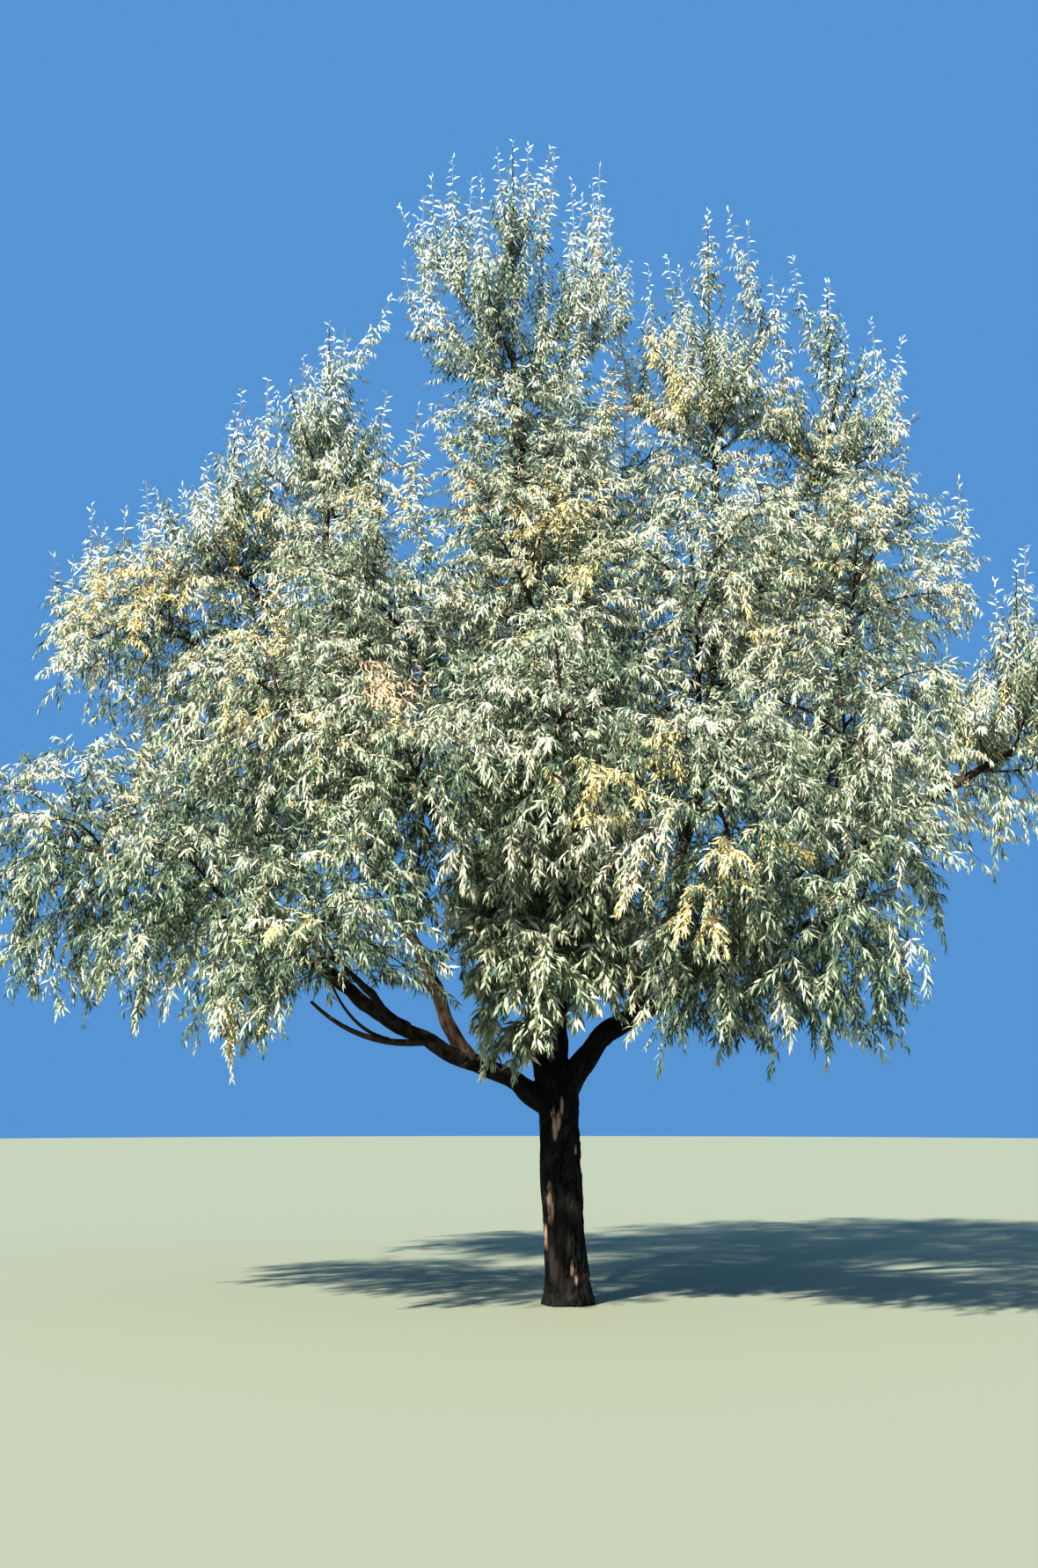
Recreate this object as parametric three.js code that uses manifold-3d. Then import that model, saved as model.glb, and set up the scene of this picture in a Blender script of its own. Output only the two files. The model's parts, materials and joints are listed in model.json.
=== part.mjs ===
// A russian olive tree in open ground, in millimetres, +Z up.
// The origin is the middle of the flat cut under the trunk, at ground level.
// A short dark trunk forks low into four limbs. Every bough carries one mass of foliage:
// twigs that branch from one stem, with narrow silver blades that each stand for a spray of leaves.
import * as THREE from "three";
import { mergeVertices } from "three/addons/utils/BufferGeometryUtils.js";
import Module from "manifold-3d";

const wasm = await Module();
wasm.setup();

// Driving dimensions of the trunk
const TRUNK = {
  forkHeight: 1600,
  leanAtMiddle: -30,
  leanAtFork: -70,
  radius: 140,
  rootFlare: 46,
  flareHeight: 140,
  rightFootFlare: 16,
  buttresses: 5,
  forkSwell: 22,
  swellHeight: 320,
  fluting: 5,
  crotchRise: 70,
  sides: 12,
  rings: 10,
};

// How boughs are drawn. A bough and the spur it grows from meet at a joint.
const BOUGH = {
  tipShare: 0.46,
  sides: 6,
  rings: 3,
  forkClearance: 14,
  shortest: 160,
  jointGap: 0.3,
  step: 0.005,
  samples: 60,
};

// How foliage grows, by habit: shoots at the top stand upright, those below arch over or weep
const HABITS = {
  upright: { heart: -0.35, lowest: -0.3, highest: 1, arch: -0.12, lift: 0.5, twigs: 8 },
  arching: { heart: 0, lowest: -0.85, highest: 0.95, arch: 0.18, lift: 0.1, twigs: 7 },
  weeping: { heart: 0.2, lowest: -0.95, highest: 0.85, arch: 0.3, lift: -0.5, twigs: 7 },
};
const STEM = { sides: 4, tipShare: 0.6, firstTwig: 0.3, lastTwig: 0.97 };
const TWIG = { radius: 10, tipRadius: 5, bladeFrom: 0.46, reach: 0.985, roll: 0.8 };
const BLADE = { width: 310, widthShare: 0.42, thickness: 16, widestAt: 0.42 };
const SIDE_BLADE = { length: 820, shortest: 300, rootRadius: 5, droop: 0.12, forward: 0.7, at: [0.4, 0.62] };
const SMALLER_TRIES = [1, 0.75, 0.55];
const SPACE_GAP = 6;
const LIMB_GAP = 5;
const WELD_TOLERANCE = 0.001;
const JOIN_TOLERANCE = 0.1;
const GOLDEN_ANGLE = THREE.MathUtils.degToRad(137.5);

// Crown plan. Each row is one bough and the mass it carries. The middle of the mass lies at a
// heading round the trunk in degrees (0 is +X, the right), a spread out from it and a height over
// the ground. Its bough leaves the parent at a share of the parent's length, with a base radius,
// and sets out between the parent's direction (1) and the straight way to its mass (0).
function mass(heading, spread, height, halfWidth, halfHeight, habit, from, at, girth, follow = 0.34) {
  return { heading, spread, height, halfWidth, halfHeight, habit, from, at, girth, follow };
}

const CROWN = {
  top_column: mass(172, 390, 7370, 900, 1190, "upright", "trunk", 0.9, 84),
  top_skirt: mass(216, 420, 5960, 740, 750, "arching", "top_column", 0.42, 30),
  left_heart: mass(208, 1570, 4880, 780, 760, "arching", "top_column", 0.3, 34),
  centre_high: mass(253, 940, 4970, 780, 800, "arching", "top_column", 0.22, 34),
  left_outer: mass(174, 3070, 4750, 850, 800, "weeping", "top_column", 0.08, 46),
  left_face: mass(214, 2330, 3870, 780, 750, "weeping", "left_outer", 0.3, 30),
  left_inner_face: mass(239, 1980, 3400, 680, 800, "weeping", "left_outer", 0.08, 32),
  centre_face: mass(268, 1900, 3770, 750, 800, "weeping", "top_column", 0.14, 40),
  left_low_far: mass(187, 3540, 3100, 850, 820, "weeping", "trunk", 0.86, 66, 0.04),
  left_top: mass(180, 1750, 6260, 630, 860, "upright", "left_low_far", 0.16, 50),
  left_shoulder: mass(174, 2490, 5710, 620, 800, "upright", "left_top", 0.5, 32),
  left_low_mid: mass(205, 2730, 2740, 680, 760, "weeping", "left_low_far", 0.5, 30),
  left_low_front: mass(230, 2480, 2330, 640, 780, "weeping", "left_low_far", 0.34, 34),
  right_outer: mass(2, 3330, 4330, 800, 1000, "upright", "trunk", 0.9, 74, 0.14),
  right_top_inner: mass(3, 1080, 6900, 620, 1050, "upright", "right_outer", 0.12, 56),
  right_top_outer: mass(9, 2030, 6640, 690, 900, "upright", "right_top_inner", 0.5, 36),
  right_heart: mass(314, 1250, 5030, 780, 800, "arching", "right_top_inner", 0.34, 34),
  right_shoulder: mass(0, 2140, 5240, 800, 760, "arching", "right_outer", 0.4, 40),
  right_face: mass(320, 2340, 3830, 780, 750, "weeping", "right_outer", 0.55, 30),
  right_low_front: mass(312, 2680, 2400, 730, 950, "weeping", "right_outer", 0.22, 42),
  right_inner_face: mass(290, 2440, 3220, 680, 750, "weeping", "right_low_front", 0.3, 28),
  right_low_inner: mass(304, 1570, 2340, 540, 640, "weeping", "right_low_front", 0.12, 24),
  back_top: mass(79, 1630, 6180, 920, 920, "arching", "trunk", 0.92, 68),
  back_left_high: mass(131, 2640, 5400, 940, 950, "arching", "back_top", 0.3, 42),
  back_left_low: mass(141, 3510, 3690, 950, 900, "weeping", "back_left_high", 0.2, 34),
  back_right_high: mass(42, 2840, 5550, 940, 950, "arching", "back_top", 0.36, 42),
  back_right_low: mass(39, 3360, 3890, 970, 900, "weeping", "back_right_high", 0.2, 34),
  back_face: mass(89, 3100, 4800, 920, 900, "weeping", "back_top", 0.5, 34),
  back_low: mass(89, 2800, 3450, 880, 780, "weeping", "back_top", 0.2, 32),
};

// Broad-leaved shoots stand on the trunk's own fork, with no bough under them
const SPROUT = "fork_sprout";
const FORK_SPROUT = mass(262, 960, 2600, 520, 760, "weeping", "trunk", 0.97, 24);

// Bark and leaf finishes
const FINISHES = {
  bark: { color: 0x4a4038, roughness: 0.95, metalness: 0 },
  upright: { color: 0xbcc8be, roughness: 0.7, metalness: 0 },
  arching: { color: 0xa3af98, roughness: 0.75, metalness: 0 },
  weeping: { color: 0x919f83, roughness: 0.75, metalness: 0 },
};

const UP = new THREE.Vector3(0, 0, 1);
const RIGHT = new THREE.Vector3(1, 0, 0);

// A repeatable run of numbers from 0 to 1
function seededChance(seed) {
  let state = (seed * 7919 + 13) % 2147483647;
  return () => {
    state = (state * 48271) % 2147483647;
    return state / 2147483647;
  };
}

function byHeading(heading, spread, height) {
  const angle = THREE.MathUtils.degToRad(heading);
  return new THREE.Vector3(Math.cos(angle) * spread, Math.sin(angle) * spread, height);
}

// A closed three.js geometry as a solid that can be joined and cut
function solidOf(geometry) {
  geometry.deleteAttribute("normal");
  geometry.deleteAttribute("uv");
  const merged = mergeVertices(geometry, WELD_TOLERANCE);
  return new wasm.Manifold(new wasm.Mesh({
    numProp: 3,
    vertProperties: new Float32Array(merged.attributes.position.array),
    triVerts: new Uint32Array(merged.index.array),
  }));
}

// A solid as a named mesh that stands at its own foot
function meshOf(name, solid, foot, finish) {
  const { vertProperties, triVerts, numProp } = solid.getMesh();
  const points = new Float32Array((vertProperties.length / numProp) * 3);
  for (let i = 0; i < points.length / 3; i++) {
    points[i * 3] = vertProperties[i * numProp] - foot.x;
    points[i * 3 + 1] = vertProperties[i * numProp + 1] - foot.y;
    points[i * 3 + 2] = vertProperties[i * numProp + 2] - foot.z;
  }
  const geometry = new THREE.BufferGeometry();
  geometry.setAttribute("position", new THREE.BufferAttribute(points, 3));
  geometry.setIndex(new THREE.BufferAttribute(new Uint32Array(triVerts), 1));
  geometry.computeVertexNormals();
  const mesh = new THREE.Mesh(geometry, new THREE.MeshStandardMaterial(FINISHES[finish]));
  mesh.name = name;
  mesh.position.copy(foot);
  return mesh;
}

// Pieces joined into one body, with loose scraps and sealed hollows left out
function joined(pieces) {
  const bodies = wasm.Manifold.union(pieces).asOriginal().simplify(JOIN_TOLERANCE).decompose();
  return bodies.reduce((best, body) => (body.volume() > best.volume() ? body : best));
}

// A curve in one plane, so that one direction across it holds for its whole length
function planeCurve(start, middle, end) {
  const curve = new THREE.QuadraticBezierCurve3(start, middle, end);
  const chord = end.clone().sub(start);
  curve.across = middle.clone().sub(start).cross(chord);
  if (curve.across.length() < chord.length()) {
    const isSteep = Math.abs(chord.z) > 0.8 * chord.length();
    curve.across.copy(isSteep ? RIGHT : UP).cross(chord);
  }
  curve.across.normalize();
  curve.span = chord.length();
  return curve;
}

// A closed tapered rod along a stretch of a curve
function rodAlong(curve, start, end, radius, tipShare, sides, rings) {
  const rod = new THREE.CylinderGeometry(tipShare, 1, 1, sides, rings);
  const position = rod.attributes.position;
  for (let i = 0; i < position.count; i++) {
    const share = start + (end - start) * (position.getY(i) + 0.5);
    const along = curve.getTangent(share);
    const over = curve.across.clone().cross(along);
    const point = curve.getPoint(share)
      .addScaledVector(curve.across, position.getX(i) * radius)
      .addScaledVector(over, position.getZ(i) * radius);
    position.setXYZ(i, point.x, point.y, point.z);
  }
  return solidOf(rod);
}

// Each mass keeps to its own space: an ellipsoid, cut by a flat face towards every other mass
function makeSpaces(rows) {
  const spaces = {};
  for (const [name, row] of Object.entries(rows)) {
    spaces[name] = {
      middle: byHeading(row.heading, row.spread, row.height),
      half: new THREE.Vector3(row.halfWidth, row.halfWidth, row.halfHeight),
      walls: [],
    };
  }
  for (const space of Object.values(spaces)) {
    for (const other of Object.values(spaces)) {
      if (other === space) continue;
      const towards = other.middle.clone().sub(space.middle);
      const distance = towards.length();
      towards.divideScalar(distance);
      const own = 1 / towards.clone().divide(space.half).length();
      const theirs = 1 / towards.clone().divide(other.half).length();
      const wallAt = (distance * own) / (own + theirs) - SPACE_GAP;
      space.walls.push(new THREE.Plane(towards, -towards.dot(space.middle) - wallAt));
    }
  }
  return spaces;
}

function isInside(space, point) {
  if (point.clone().sub(space.middle).divide(space.half).length() > 1) return false;
  return space.walls.every((wall) => wall.distanceToPoint(point) < 0);
}

// How far the space reaches from a point inside it
function reachFrom(space, origin, direction) {
  const from = origin.clone().sub(space.middle).divide(space.half);
  const step = direction.clone().divide(space.half);
  const a = step.lengthSq();
  const b = from.dot(step);
  let reach = (Math.sqrt(b * b - a * (from.lengthSq() - 1)) - b) / a;
  for (const wall of space.walls) {
    const closing = wall.normal.dot(direction);
    if (closing > 1e-6) reach = Math.min(reach, -wall.distanceToPoint(origin) / closing);
  }
  return reach;
}

function allInside(space, solid) {
  const { vertProperties, numProp } = solid.getMesh();
  const point = new THREE.Vector3();
  for (let i = 0; i < vertProperties.length; i += numProp) {
    point.set(vertProperties[i], vertProperties[i + 1], vertProperties[i + 2]);
    if (!isInside(space, point)) return false;
  }
  return true;
}

// The heart of a mass, where its stem ends and its twigs set out
function heartOf(row, space) {
  const heart = space.middle.clone();
  heart.z += HABITS[row.habit].heart * row.halfHeight;
  return heart;
}

// Trunk: a shaft with a flared foot and a swollen fork
function trunkRadius(height, angle) {
  const flare = Math.exp(-height / TRUNK.flareHeight);
  const swell = THREE.MathUtils.smoothstep(height, TRUNK.forkHeight - TRUNK.swellHeight, TRUNK.forkHeight);
  return TRUNK.radius
    + TRUNK.rootFlare * flare * (1 + 0.35 * Math.cos(TRUNK.buttresses * angle + 0.6))
    + TRUNK.rightFootFlare * flare * (1 + Math.cos(angle))
    + TRUNK.forkSwell * swell
    + TRUNK.fluting * Math.sin(3 * angle + height / 260);
}

function makeShaft(curve) {
  const shaft = new THREE.CylinderGeometry(1, 1, 1, TRUNK.sides, TRUNK.rings);
  const position = shaft.attributes.position;
  for (let i = 0; i < position.count; i++) {
    const share = position.getY(i) + 0.5;
    const height = TRUNK.forkHeight * share ** 1.5;
    const centre = curve.getPoint(height / TRUNK.forkHeight);
    const spoke = Math.hypot(position.getX(i), position.getZ(i));
    const angle = Math.atan2(-position.getZ(i), position.getX(i));
    const radius = spoke * trunkRadius(height, angle);
    const crotch = share === 1 ? TRUNK.crotchRise * (1 - spoke) : 0;
    position.setXYZ(i, centre.x + radius * Math.cos(angle), radius * Math.sin(angle), height + crotch);
  }
  return solidOf(shaft);
}

// Limbs: every curve is worked out first, parent before child
const rows = { ...CROWN, [SPROUT]: FORK_SPROUT };
const spaces = makeSpaces(rows);
const trunkCurve = planeCurve(
  new THREE.Vector3(0, 0, 0),
  new THREE.Vector3(TRUNK.leanAtMiddle, 0, TRUNK.forkHeight / 2),
  new THREE.Vector3(TRUNK.leanAtFork, 0, TRUNK.forkHeight),
);
const trunkGirth = TRUNK.radius + TRUNK.forkSwell;
const limbs = {
  trunk: { name: "trunk", curve: trunkCurve, start: 0, end: 1, girth: trunkGirth, tipShare: 1 },
};

function girthAt(limb, share) {
  const built = THREE.MathUtils.clamp((share - limb.start) / (limb.end - limb.start), 0, 1);
  return limb.girth * (1 - (1 - limb.tipShare) * built);
}

// Room between a ball on one limb and the whole of another
function roomBetween(point, radius, other) {
  let room = Infinity;
  for (let i = 0; i <= BOUGH.samples; i++) {
    const share = i / BOUGH.samples;
    const gap = point.distanceTo(other.curve.getPoint(share)) - radius - girthAt(other, share);
    room = Math.min(room, gap);
  }
  return room;
}

// A child's curve, from its parent's middle line to the heart of its mass
function setOutLimb(parent, name, row) {
  const at = parent.start + (parent.end - parent.start) * row.at;
  const base = parent.curve.getPoint(at);
  const heart = heartOf(row, spaces[name]);
  const chord = heart.clone().sub(base);
  const setOut = parent.curve.getTangent(at).multiplyScalar(row.follow)
    .addScaledVector(chord.clone().normalize(), 1 - row.follow)
    .setLength(chord.length() / 2);
  const curve = planeCurve(base, base.clone().add(setOut), heart);
  return { name, row, curve, start: 0, end: 1, girth: row.girth, tipShare: BOUGH.tipShare };
}

// The joint lies where a limb has come clear of its parent and of the limbs beside it
function jointOf(limb, neighbours) {
  let share = BOUGH.step;
  const isClear = () => neighbours.every((other) =>
    roomBetween(limb.curve.getPoint(share), limb.girth, other) > BOUGH.forkClearance);
  while (share < 0.9 && !isClear()) share += BOUGH.step;
  return share;
}

// A bough ends where a ball of its tip's size lies inside the space of its mass
function endOf(limb) {
  const ball = limb.girth * limb.tipShare + SPACE_GAP;
  const spokes = [UP, RIGHT, new THREE.Vector3(0, 1, 0)].flatMap((axis) => [axis, axis.clone().negate()]);
  let share = limb.start + BOUGH.shortest / limb.curve.span;
  const isWithin = () => spokes.every((spoke) =>
    isInside(spaces[limb.name], limb.curve.getPoint(share).addScaledVector(spoke, ball)));
  while (share < 0.97 && !isWithin()) share += BOUGH.step;
  return share;
}

function growLimbs(parent) {
  const children = Object.entries(rows)
    .filter(([, row]) => row.from === parent.name)
    .map(([name, row]) => setOutLimb(parent, name, row));
  const joints = children.map((limb) =>
    jointOf(limb, [parent, ...children.filter((other) => other !== limb)]));
  children.forEach((limb, i) => {
    limb.start = joints[i];
    limb.hasBough = limb.name !== SPROUT;
    limb.end = limb.hasBough ? endOf(limb) : limb.start;
    limbs[limb.name] = limb;
  });
  children.filter((limb) => limb.hasBough).forEach(growLimbs);
}
growLimbs(limbs.trunk);

const boughs = Object.values(limbs).filter((limb) => limb.hasBough);

// The short spur of a limb that belongs to its parent, up to the joint
function makeSpur(limb, extra = 0) {
  return rodAlong(limb.curve, 0, limb.start, limb.girth + extra, 1, BOUGH.sides, 1);
}

function makeBough(limb, extra = 0) {
  const girth = limb.girth + extra;
  const tipShare = (limb.girth * limb.tipShare + extra) / girth;
  const start = limb.start + BOUGH.jointGap / limb.curve.span;
  return rodAlong(limb.curve, start, limb.end, girth, tipShare, BOUGH.sides, BOUGH.rings);
}

const solids = {};
for (const limb of [limbs.trunk, ...boughs]) {
  const own = limb === limbs.trunk ? makeShaft(trunkCurve) : makeBough(limb);
  const children = Object.values(limbs).filter((child) => child.row?.from === limb.name);
  const spurs = children.map((child) => makeSpur(child));
  solids[limb.name] = joined([own, ...spurs]);
}

// Foliage keeps a little clear of every bough and spur
const fatLimbs = boughs.flatMap((limb) => [makeBough(limb, LIMB_GAP), makeSpur(limb, LIMB_GAP)]);

function limbsNear(space) {
  const box = new THREE.Box3().setFromCenterAndSize(space.middle, space.half.clone().multiplyScalar(2));
  const near = fatLimbs.filter((limb) => {
    const { min, max } = limb.boundingBox();
    return box.intersectsBox(new THREE.Box3(new THREE.Vector3(...min), new THREE.Vector3(...max)));
  });
  return wasm.Manifold.union(near);
}

// A three-sided shoot along a curve whose end widens into a thin pointed blade.
// Each ring is a share of the curve, a half width and the height of its keel.
function shootAlong(curve, rings, roll) {
  const shoot = new THREE.CylinderGeometry(0, 1, 1, 3, rings.length);
  const position = shoot.attributes.position;
  for (let i = 0; i < position.count; i++) {
    const place = Math.round((position.getY(i) + 0.5) * rings.length);
    const ring = rings[place] ?? { share: 1, halfWidth: 0, keel: 0 };
    const isRim = Math.hypot(position.getX(i), position.getZ(i)) > 1e-6;
    const angle = Math.atan2(position.getX(i), position.getZ(i));
    const along = curve.getTangent(ring.share);
    const across = curve.across.clone().applyAxisAngle(along, roll);
    const over = across.clone().cross(along);
    const point = curve.getPoint(ring.share);
    if (isRim) {
      point.addScaledVector(across, Math.sin(angle) * ring.halfWidth / Math.sin(Math.PI / 3));
      point.addScaledVector(over, Math.cos(angle) * ring.keel);
    }
    position.setXYZ(i, point.x, point.y, point.z);
  }
  return solidOf(shoot);
}

function roundRing(share, radius) {
  return { share, halfWidth: radius, keel: radius };
}

// The widest ring of a blade that fills a curve from a share of it to its tip
function bladeRing(curve, from, smaller) {
  const width = Math.min(BLADE.width, BLADE.widthShare * (1 - from) * curve.getLength());
  const share = from + (1 - from) * BLADE.widestAt;
  return { share, halfWidth: width * smaller / 2, keel: BLADE.thickness / 1.5 };
}

// A mass: one stem from its bough's tip, twigs from the stem, blades from the twigs
function growMass(limb, index) {
  const { row, curve } = limb;
  const space = spaces[limb.name];
  const habit = HABITS[row.habit];
  const heart = heartOf(row, space);
  const chance = seededChance(index + 1);
  const obstacles = limbsNear(space);
  const isFree = (solid) => allInside(space, solid) && obstacles.intersect(solid).isEmpty();
  const stemRadius = limb.hasBough ? limb.girth * limb.tipShare : limb.girth;
  const stemStart = limb.end + BOUGH.jointGap / curve.span;
  const stem = rodAlong(curve, stemStart, 1, stemRadius, STEM.tipShare, STEM.sides, 1);
  const firstHeading = chance() * Math.PI * 2;
  const shoots = [];

  // A shoot at the first width at which it keeps to the space and crosses no other shoot
  const addShoot = (make, parent) => {
    const others = shoots.filter((other) => other !== parent);
    for (const smaller of SMALLER_TRIES) {
      const shoot = make(smaller);
      if (isFree(shoot) && others.every((other) => other.intersect(shoot).isEmpty())) {
        shoots.push(shoot);
        return shoot;
      }
    }
    return null;
  };

  const growSideBlade = (twig, twigCurve, share, turn) => {
    const root = twigCurve.getPoint(share);
    const tangent = twigCurve.getTangent(share);
    const direction = twigCurve.across.clone().applyAxisAngle(tangent, turn)
      .addScaledVector(tangent, SIDE_BLADE.forward)
      .addScaledVector(UP, habit.lift)
      .normalize();
    const room = isInside(space, root) ? reachFrom(space, root, direction) * TWIG.reach : 0;
    const length = Math.min(SIDE_BLADE.length * (0.85 + 0.3 * chance()), room);
    if (length < SIDE_BLADE.shortest) return;
    const tip = root.clone().addScaledVector(direction, length);
    const bend = root.clone().lerp(tip, 0.5).addScaledVector(UP, SIDE_BLADE.droop * length);
    const bladeCurve = planeCurve(root, bend, tip);
    const rootRing = roundRing(0, SIDE_BLADE.rootRadius);
    addShoot((smaller) => shootAlong(bladeCurve, [rootRing, bladeRing(bladeCurve, 0, smaller)], turn), twig);
  };

  for (let i = 0; i < habit.twigs; i++) {
    const place = i / (habit.twigs - 1);
    const rise = THREE.MathUtils.lerp(habit.lowest, habit.highest, place);
    const heading = firstHeading + i * GOLDEN_ANGLE;
    const level = Math.sqrt(1 - rise * rise);
    const out = new THREE.Vector3(Math.cos(heading) * level, Math.sin(heading) * level, rise);
    const roll = (chance() * 2 - 1) * TWIG.roll;
    const turn = chance() * Math.PI * 2;
    const end = heart.clone().addScaledVector(out, reachFrom(space, heart, out) * TWIG.reach);
    const fork = THREE.MathUtils.lerp(STEM.firstTwig, STEM.lastTwig, place);
    const base = curve.getPoint(THREE.MathUtils.lerp(stemStart, 1, fork));
    const middle = base.clone().lerp(end, 0.5).addScaledVector(UP, habit.arch * base.distanceTo(end));
    const twigCurve = planeCurve(base, middle, end);
    const rootRing = roundRing(0, TWIG.radius);
    const neckRing = roundRing(TWIG.bladeFrom, TWIG.tipRadius);
    const twig = addShoot((smaller) =>
      shootAlong(twigCurve, [rootRing, neckRing, bladeRing(twigCurve, TWIG.bladeFrom, smaller)], roll));
    if (!twig) continue;
    SIDE_BLADE.at.forEach((share, j) => growSideBlade(twig, twigCurve, share, turn + j * Math.PI));
  }
  return joined([stem, ...shoots]);
}

// The tree, node by node
const tree = new THREE.Group();
tree.name = "russian_olive";
tree.add(meshOf("trunk", solids.trunk, new THREE.Vector3(), "bark"));
for (const limb of boughs) {
  tree.add(meshOf(`${limb.name}_bough`, solids[limb.name], limb.curve.getPoint(limb.start), "bark"));
}
Object.keys(rows).forEach((name, index) => {
  const limb = limbs[name];
  const foot = limb.curve.getPoint(limb.end);
  tree.add(meshOf(`${name}_foliage`, growMass(limb, index), foot, rows[name].habit));
});

export default tree;
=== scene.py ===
# A russian olive tree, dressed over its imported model. Metres, +Z up, origin at the foot of the trunk.
# It is put together as it grows: skeleton, trunk, boughs, twigs, leafy shoots, leaves and fruit.
import json
import math

import bpy
import numpy as np
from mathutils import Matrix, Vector
from mathutils.kdtree import KDTree

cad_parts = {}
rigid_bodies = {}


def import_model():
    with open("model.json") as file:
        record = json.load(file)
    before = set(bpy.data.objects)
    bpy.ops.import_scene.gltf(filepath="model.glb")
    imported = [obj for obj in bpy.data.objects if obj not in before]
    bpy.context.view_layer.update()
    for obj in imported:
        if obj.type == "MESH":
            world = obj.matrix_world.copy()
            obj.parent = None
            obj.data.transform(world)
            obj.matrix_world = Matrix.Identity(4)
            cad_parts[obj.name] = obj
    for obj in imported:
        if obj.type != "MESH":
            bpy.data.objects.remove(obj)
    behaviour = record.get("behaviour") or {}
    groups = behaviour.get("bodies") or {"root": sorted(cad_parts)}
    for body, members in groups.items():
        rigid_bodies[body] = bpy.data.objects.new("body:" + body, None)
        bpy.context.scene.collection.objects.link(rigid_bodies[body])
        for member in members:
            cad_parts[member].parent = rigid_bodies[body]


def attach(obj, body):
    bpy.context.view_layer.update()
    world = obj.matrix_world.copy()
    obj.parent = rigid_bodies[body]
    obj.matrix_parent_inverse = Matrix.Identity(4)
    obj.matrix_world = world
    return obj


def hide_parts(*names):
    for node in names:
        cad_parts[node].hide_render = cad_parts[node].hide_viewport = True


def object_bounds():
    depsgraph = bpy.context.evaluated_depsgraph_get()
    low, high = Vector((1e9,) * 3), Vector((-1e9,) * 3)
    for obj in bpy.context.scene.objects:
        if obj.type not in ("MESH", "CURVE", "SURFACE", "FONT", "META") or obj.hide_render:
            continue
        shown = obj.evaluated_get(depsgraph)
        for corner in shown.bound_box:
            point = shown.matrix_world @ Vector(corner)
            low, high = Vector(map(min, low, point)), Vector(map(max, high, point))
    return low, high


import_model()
cad_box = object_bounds()


# Camera
# The tree is seen from eye height on open ground, 15.6 m off, with the view tilted up a little
# so that it takes in the whole crown.
CAMERA_PLACE = (-0.339, -15.6, 1.6)
CAMERA_TILT = 97.59
camera_data = bpy.data.cameras.new("camera")
camera_data.lens = 50
camera_data.sensor_width = 36
camera = bpy.data.objects.new("camera", camera_data)
camera.location = CAMERA_PLACE
camera.rotation_euler = (math.radians(CAMERA_TILT), 0, 0)
bpy.context.scene.collection.objects.link(camera)
bpy.context.scene.camera = camera


# Studio
# A wide pale floor stands in for the lawn, under a soft sky-like light, a wide soft fill from the
# front and one warm key light that comes from high on the left, in front of the tree.
FLOOR_RADIUS = 42
FLOOR_SIDES = 96
FLOOR_DROP = 0.001
KEY_TRAVEL = (0.40, 0.66, -0.64)
FILL_TRAVEL = (-0.15, 0.85, -0.50)


def plain_material(name, colour, roughness):
    material = bpy.data.materials.new(name)
    material.use_nodes = True
    shader = material.node_tree.nodes["Principled BSDF"]
    shader.inputs["Base Color"].default_value = (*colour, 1)
    shader.inputs["Roughness"].default_value = roughness
    return material


def mesh_object(name, points, faces=(), edges=()):
    mesh = bpy.data.meshes.new(name)
    mesh.from_pydata(points, edges, faces)
    made = bpy.data.objects.new(name, mesh)
    bpy.context.scene.collection.objects.link(made)
    return made


def add_sun(name, energy, spread, colour, travel):
    data = bpy.data.lights.new(name, "SUN")
    data.energy = energy
    data.angle = math.radians(spread)
    data.color = colour
    light = bpy.data.objects.new(name, data)
    light.rotation_euler = Vector(travel).to_track_quat("-Z", "Y").to_euler()
    bpy.context.scene.collection.objects.link(light)


floor_turns = np.linspace(0, 2 * math.pi, FLOOR_SIDES, endpoint=False)
floor_rim = np.stack([np.cos(floor_turns), np.sin(floor_turns), 0 * floor_turns], axis=1) * FLOOR_RADIUS
floor_rim[:, 2] = -FLOOR_DROP
floor = mesh_object("floor", floor_rim, [tuple(range(FLOOR_SIDES))])
floor.data.materials.append(plain_material("pale_floor", (0.25, 0.27, 0.20), 0.9))

world = bpy.data.worlds.new("sky_light")
world.use_nodes = True
sky = world.node_tree.nodes["Background"]
sky.inputs["Color"].default_value = (0.13, 0.31, 0.58, 1)
sky.inputs["Strength"].default_value = 0.85
bpy.context.scene.world = world
bpy.context.scene.view_settings.view_transform = "Standard"
bpy.context.scene.view_settings.look = "High Contrast"
add_sun("key_light", 7.4, 1.5, (1, 0.93, 0.80), KEY_TRAVEL)
add_sun("fill_light", 0.6, 110, (1, 0.97, 0.90), FILL_TRAVEL)


# Skeleton
# The trunk forks low into four limbs, and every bough carries one mass of foliage. These are the
# middle lines that the wood follows and the spaces that the foliage keeps to.
HEART_HEIGHT = {"upright": -0.35, "arching": 0, "weeping": 0.2}
SPROUT = "fork_sprout"
SPACE_GAP = 0.006
FORK_CLEARANCE = 0.014
JOINT_GAP = 0.0003
SHORTEST_BOUGH = 0.16
WALK_STEP = 0.005
TIP_SHARE = 0.46
UP = np.array([0.0, 0.0, 1.0])
RIGHT = np.array([1.0, 0.0, 0.0])


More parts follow.
